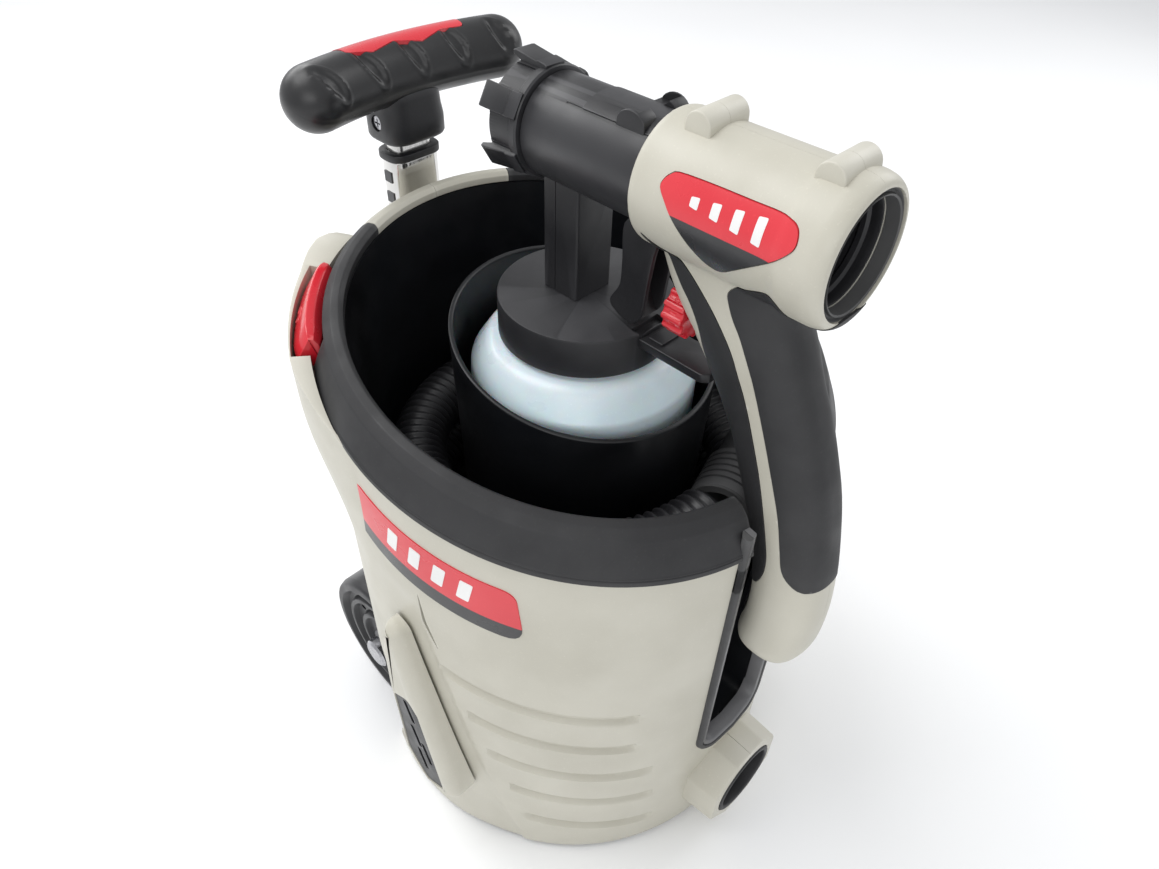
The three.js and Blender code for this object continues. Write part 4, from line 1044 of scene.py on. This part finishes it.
def flow_knob():
    outline = []
    for k in range(144):
        turn = math.tau * k / 144
        wave = math.cos(12 * turn)
        radius = 10.9 + 0.9 * max(-0.4, min(1, 1.6 * wave))
        outline.append((radius * math.cos(turn), 338 + radius * math.sin(turn)))
    knob = prism("knob", outline, -63.9, -53.2, front, 0.9)
    for k in range(12):
        turn = math.tau * (k + 0.5) / 12
        x, z = 11.2 * math.cos(turn), 338 + 11.2 * math.sin(turn)
        cut(knob, prism("nick", circle(1.0, x, z, 12), -60.4, -56.8, front, 0.3))
    piece(knob, "flow_knob", "red", ["flow_knob"], 34)


def cup():
    lid = [(0.01, LID_TOP), (LID_R - 1.2, LID_TOP), (LID_R - 0.3, LID_TOP - 0.3), (LID_R, LID_TOP - 1.2),
           (LID_R, LID_TOP - 19.6), (LID_R - 0.4, LID_TOP - 20), (38.8, LID_TOP - 20), (38.8, LID_TOP - 3),
           (0.01, LID_TOP - 3)]
    cap = turned("lid", lid, steps=128)
    plate = [(-9, -39, 0.5), (-9, -76, 3), (-6, -79, 2), (6, -79, 2), (9, -76, 3), (9, -39, 0.5)]
    unite(cap, prism("bridge", rounded(plate), 313, 317.5, plan, 0.5))
    raised = rounded([(-6, -44, 0.8), (-6, -52, 1), (6, -52, 1), (6, -44, 0.8)])
    unite(cap, prism("raised", raised, 317, 318.7, plan, 0.4))
    cut(cap, prism("tube_hole", circle(4.4, 0, 6.5, 24), 300, 330, plan, 0))
    cut(cap, box("step", (-8.8, -41.4, 317.8), (8.8, -36, 320.6)))
    piece(cap, "spray_gun", "black", ["cup_lid"], 30)
    profile = [(0.01, 183.3), (50, 183.3, 0.5), (56.5, 184, 5), (56.5, 276, 0.5), (56, 283, 6),
               (47, 296.5, 9), (37.6, 298.5, 3),
               (37.6, 314.3, 0.6), (35.4, 314.3, 0.6), (35.4, 296, 3), (46, 293.5, 6), (54, 283, 6),
               (54.3, 275, 0.5),
               (54, 186, 4), (0.01, 186)]
    piece(turned("bottle_body", rounded(profile, 0.2, 5), steps=128), "bottle", "milky", ["bottle"], 40)


# ---------- pull handle ----------
GRIP_R = 15.8
GRIP_END = 55.0
GRIP_Z = 382.0
GRIP_BOW = 420.0
GROOVE_STEPS = (-54, -27, 0, 27, 54)


def grip_loft(name, swollen=0.0, grooved=False):
    """The T-handle: a bowed round bar with ball ends, along x."""
    stations = [GRIP_END * k / 60 for k in range(-60, 61)]
    ends = [math.radians(3 + 87 * k / 12) for k in range(12)]
    stations = [-GRIP_END - GRIP_R * math.cos(t) for t in ends] + stations
    stations += [GRIP_END + GRIP_R * math.cos(t) for t in ends[::-1]]
    loops = []
    for s in stations:
        held = max(-GRIP_END, min(GRIP_END, s))
        turn = -held / (GRIP_BOW / 2)
        x = TUBE_X + 1 + held + (s - held) * math.cos(turn)
        y = TUBE_Y - held * held / GRIP_BOW + (s - held) * math.sin(turn)
        radius = math.sqrt(max(GRIP_R ** 2 - (s - held) ** 2, 0.3))
        loop = []
        for k in range(96):
            angle = math.tau * k / 96
            reach = radius + swollen * radius / GRIP_R
            if grooved:
                reach -= finger_groove(s, math.degrees(angle))
            out = reach * math.cos(angle)
            loop.append((x - out * math.sin(turn), y + out * math.cos(turn),
                         GRIP_Z + reach * math.sin(angle)))
        loops.append(loop)
    return rings(name, loops)


def finger_groove(s, angle):
    """Five oval dents across the front of the grip, each with a soft raised rim, and the moulding seam."""
    seam = 0.35 * math.exp(-((angle - 205) / 1.6) ** 2)
    for middle in GROOVE_STEPS:
        far = math.hypot((s - middle - 0.1 * (angle - 140)) / 4.6, (angle - 140) / 40)
        if far < 1.35:
            return seam + 1.9 * (1 - smooth_step(0.55, 1.0,
                                                 far)) - 0.35 * math.exp(-((far - 1.12) / 0.1) ** 2)
    return seam


def zigzag(margin):
    top = [(-27, 150), (-12, 147), (2, 151), (18, 148), (33, 151), (45, 146)]
    low = [(43, 133.5), (30, 136), (16, 133), (1, 137), (-13, 133.5), (-26, 136)]
    return inset(rounded([(x, y, 2.5) for x, y in low[::-1] + top[::-1]], 2.5), -margin)


def pull_handle():
    grip = grip_loft("t_grip_skin", 0.0, True)
    hollow = cut(prism("inset_bed", zigzag(0.3), GRIP_Z, GRIP_Z + 30, plan, 0), grip_loft("core", -1.6))
    cut(grip, hollow)
    plate = common(prism("inset_plate", zigzag(0.0), GRIP_Z, GRIP_Z + 30, plan, 0), grip_loft("skin", 0.25))
    cut(plate, grip_loft("core", -1.5))
    piece(grip, "pull_handle", "rubber", ["t_grip"], 40)
    piece(plate, "pull_handle", "red", ["grip_inset"], 40)
    stem()
    tube("inner_tube", 24, 12, 5, 1.5, 40, 352, "pull_handle", "chrome", "handle_inner_tube")
    tube("outer_tube", 30, 18, 8, 1.5, 24, TUBE_TOP, "base", "chrome", "handle_outer_tube")
    tube("collar", 32.5, 20.5, 9, 4.0, TUBE_TOP + 0.3, TUBE_TOP + 4.3, "base", "black", "tube_collar")
    for name, low, high in (("upper_bracket", 262, 286), ("lower_bracket", 14, 60)):
        clamp = box(name + "_skin", (TUBE_X - 22, 127.9, low), (TUBE_X + 22, 155.8, high), 4)
        cut(clamp, oval_prism("hole", 30.6, 18.6, 8.2, low - 5 if low > 100 else 23.7, high + 5))
        cut(clamp, turned("drum_side", [(0.01, 0), (DRUM_R + 0.4, 0), (DRUM_R + 0.4, 300), (0.01, 300)]))
        piece(clamp, "base", "black", [name], 34)


def oval(width, depth, corner):
    x, y = width / 2, depth / 2
    corners = [(-x, -y), (x, -y), (x, y), (-x, y)]
    return rounded([(TUBE_X + u, TUBE_Y + v, corner) for u, v in corners], corner, 8)


def oval_prism(name, width, depth, corner, low, high, bevel=0.0):
    return prism(name, oval(width, depth, corner), low, high, plan, bevel)


def tube(name, width, depth, corner, wall, low, high, body, look, node):
    made = oval_prism(name, width, depth, corner, low, high, 0.5)
    cut(made, oval_prism("bore", width - 2 * wall, depth - 2 * wall, max(corner - wall, 1), low - 5,
                         high + 5))
    piece(made, body, look, [node], 34)


def stem():
    """The moulded neck between tube and grip, waisted below and flared to the grip."""
    loops = []
    for z, width, depth in ((348, 34.5, 27.5), (348.6, 36, 29), (350, 37, 30), (358, 37, 30),
                            (364, 35.6, 28.6),
                            (370, 35, 28), (376, 36, 27)):
        loops.append([(u, v, z) for u, v in oval(width, depth, 11)])
    neck = rings("stem_skin", loops)
    socket = oval_prism("socket", 24.6, 12.6, 5.2, 340, 352.4)
    screw_hole = prism("screw_hole", circle(4.1, TUBE_Y, 358), TUBE_X - 25, TUBE_X - 14.9, side, 0)
    cut(neck, grip_loft("grip_hollow", 0.2), socket, screw_hole)
    piece(neck, "pull_handle", "black", ["grip_stem"], 34)
    screw = prism("screw_skin", circle(3.8, TUBE_Y, 358), TUBE_X - 17.6, TUBE_X - 14.9, side, 0.4)
    for size in ((0.45, 2.3), (2.3, 0.45)):
        low = (TUBE_X - 20, TUBE_Y - size[0], 358 - size[1])
        cut(screw, box("cross", low, (TUBE_X - 16.6, TUBE_Y + size[0], 358 + size[1])))
    piece(screw, "pull_handle", "steel", ["stem_screw"], 30)


# ---------- button, port, filter and wheels ----------
FILTER_FACE = -137.0
FILTER_CORNER = 7.0
BUTTON_START = 126.3
BUTTON_SWEEP = 23.2
FILTER_OUTLINE = [(-40, 56), (-13, 42), (6, 68), (10, 125), (9, 161), (2, 189), (-8, 186), (-20, 140)]
FILTER_WINDOW = [(-31, 60), (-14, 50), (0, 70), (3.5, 124), (-10, 132), (-17, 124)]


def power_button():
    """A wedge with a sloping outer face, a ridge and rounded ends, and a raised curl on the face."""
    profile = rounded([(121.9, 281, 0.8), (133.6, 281, 1.2), (135.9, 284, 1.5), (135.6, 287, 1.5),
                       (128.6, 299, 1.4), (124.6, 298.6, 1.5), (121.9, 294.5, 1)], 1.0, 3)
    loops = []
    for k in range(41):
        share = k / 40
        azimuth = BUTTON_START + BUTTON_SWEEP * share
        back = 3.2 * max(0.0, 1 - min(share, 1 - share) / 0.16) ** 2
        turn = math.radians(azimuth)
        loops.append([slanted_z(radius, height, turn) for radius,
                      height in inset(profile, back * 0.55 + 0.02)])
    button = rings("button_skin", loops)
    curl = []
    for k in range(25):
        turn = math.radians(300 * k / 24 - 60)
        reach = 3.4 - 1.7 * k / 24
        curl.append((1.7 * reach * math.cos(turn), 290.5 + reach * math.sin(turn)))
    line = curl + [(u * 0.62, 290.5 + (z - 290.5) * 0.62) for u, z in curl[::-1]]
    mark = common(swell(copy_of(button, "mark"), 0.35), prism("curl", line, 115, 145, radial(139), 0))
    piece(button, "power_button", "red", ["power_button"], 26)
    piece(mark, "power_button", "red", (), 30)


def filter_cover():
    outer = prism("cover_skin", rounded([(y, z, FILTER_CORNER) for y, z in FILTER_OUTLINE], FILTER_CORNER,
                                        6), FILTER_FACE, -90,
                  side,
                  7.5, 7)
    inner_wall = turned("wall", [(0.01, 10), (DRUM_R + 0.3, 10), (DRUM_R + 0.3, 220), (0.01, 220)],
                        steps=240)
    window = rounded([(y, z, 5) for y, z in FILTER_WINDOW], 5, 5)
    hollow = prism("hollow", inset(rounded([(y, z, FILTER_CORNER) for y, z in FILTER_OUTLINE],
                                           FILTER_CORNER, 6), 3.4), -133.5, -90,
                   side, 5)
    cut(outer, inner_wall, hollow, prism("window", window, -150, -100, side, 0))
    piece(outer, "filter_door", "beige", ["filter_cover"], 34)
    plate = prism("grille_skin", inset(window, 0.3), FILTER_FACE + 0.6, FILTER_FACE + 3.4, side, 0.4)
    opening = inset(window, 1.9)
    for column in range(7):
        for row in range(-1, 5):
            middle_z = 62 + 22 * row + 11 * (column % 2)
            middle_y = -34 + 6.4 * column + 0.12 * (middle_z - 62)
            if near_inside(opening, middle_y, middle_z, 5.0):
                slit = rounded([(middle_y - 4.2, middle_z - 8, 1), (middle_y - 1.2, middle_z - 9, 1),
                                (middle_y + 4.2, middle_z + 8, 1), (middle_y + 1.2, middle_z + 9, 1)], 1, 3)
                cut(plate, prism("slit", slit, FILTER_FACE - 3, FILTER_FACE + 8, side, 0))
    piece(plate, "filter_door", "black", ["filter_grille"], 34)


def near_inside(outline, u, v, margin):
    """Whether a point lies inside a convex outline by a margin."""
    middle_u = sum(point[0] for point in outline) / len(outline)
    middle_v = sum(point[1] for point in outline) / len(outline)
    for k, (u0, v0) in enumerate(outline):
        u1, v1 = outline[(k + 1) % len(outline)]
        length = math.hypot(u1 - u0, v1 - v0)
        if length < 1e-6:
            continue
        gap = ((u1 - u0) * (v - v0) - (v1 - v0) * (u - u0)) / length
        middle = ((u1 - u0) * (middle_v - v0) - (v1 - v0) * (middle_u - u0)) / length
        if gap * math.copysign(1, middle) < margin:
            return False
    return True


def wheel(sign, name, body):
    def place(radius, x, angle):
        return (sign * x, WHEEL_Y + radius * math.cos(angle), WHEEL_R + radius * math.sin(angle))

    profile = rounded([(4.3, 78, 0.2), (20, 78, 0.5), (22, 80.5, 0.5), (40, 80.5, 0.5), (43, 76.2, 1),
                       (50.5, 76.8, 2.5), (52, 81, 2), (52, 99, 2), (50.5, 103.4, 2.5), (45, 103.8, 1),
                       (42.5, 99.5, 1), (39, 99, 0.5), (37.5, 102.4, 0.8), (34.5, 102.4, 0.8),
                       (33, 98.5, 0.6),
                       (27, 98, 0.6), (25.5, 101.6, 0.8), (22.5, 101.6, 0.8), (21, 98.5, 0.6),
                       (13.5, 98.5, 0.6),
                       (12.5, 101.2, 0.6), (4.3, 101.2, 0.2)], 1.0, 3)
    rim = turned(name, profile, place, steps=120)
    for k in range(6):
        turn = math.tau * (k + 0.5) / 6
        y, z = WHEEL_Y + 30 * math.cos(turn), WHEEL_R + 30 * math.sin(turn)
        low, high = sorted((sign * 96.5, sign * 110))
        cut(rim, prism("pocket", circle(2.2, y, z, 20), low, high, side, 0))
    piece(rim, body, "black", [name.replace("_skin", "")], 34)


def port_ring():
    def place(radius, y, angle):
        return (radius * math.cos(angle), y, PORT_Z + radius * math.sin(angle))

    profile = rounded([(20.2, -137.3, 0.4), (23.3, -137.3, 0.5), (23.3, -144.9, 1.0), (20.2, -144.9, 1.2)],
                      1, 4)
    piece(turned("port_ring", profile, place), "base", "grey", ["outlet_ring"], 34)


# ---------- floor and the CAD nodes' finishes ---
def floor():
    mesh = bpy.data.meshes.new("floor")
    half = 6.0
    mesh.from_pydata([(-half, -half, 0), (half, -half, 0), (half, half, 0), (-half, half, 0)], [],
                     [(0, 1, 2, 3)])
    plane = bpy.data.objects.new("floor", mesh)
    look = Look("studio_floor")
    look.set(Base_Color=look.blend(look.spread(look.noise(3, 2), 0, 1), (0.96, 0.965, 0.97),
                                   (0.975, 0.98, 0.985)))
    look.set(Roughness=0.55)
    mesh.materials.append(look.material)
    bpy.context.scene.collection.objects.link(plane)


CAD_LOOKS = {
    "beige_plastic": "beige", "soft_grey": "grey", "black_plastic": "black", "tub_black": "well",
    "red_plastic": "red", "chrome": "chrome", "steel": "steel", "milky_plastic": "milky",
    "black_rubber": "rubber", "foam": "foam", "motor_can": "copper", "board": "board",
}


def finish_cad_nodes():
    """The nodes that stay shown get their slot's material in place of the plain one."""
    for entry in frame["record"]["subparts"]:
        node = frame["nodes"][entry["node"]]
        node.data.materials.clear()
        node.data.materials.append(LOOKS[CAD_LOOKS[entry["material_slot"]]])


set_camera()
hose()
drum()
bezel()
label()
tub()
holder()
gun()
barrel()
lock_ring()
trigger()
flow_knob()
cup()
pull_handle()
power_button()
filter_cover()
wheel(-1, "wheel_left_skin", "wheel_left")
wheel(1, "wheel_right_skin", "wheel_right")
port_ring()
finish_cad_nodes()
floor()
set_light()
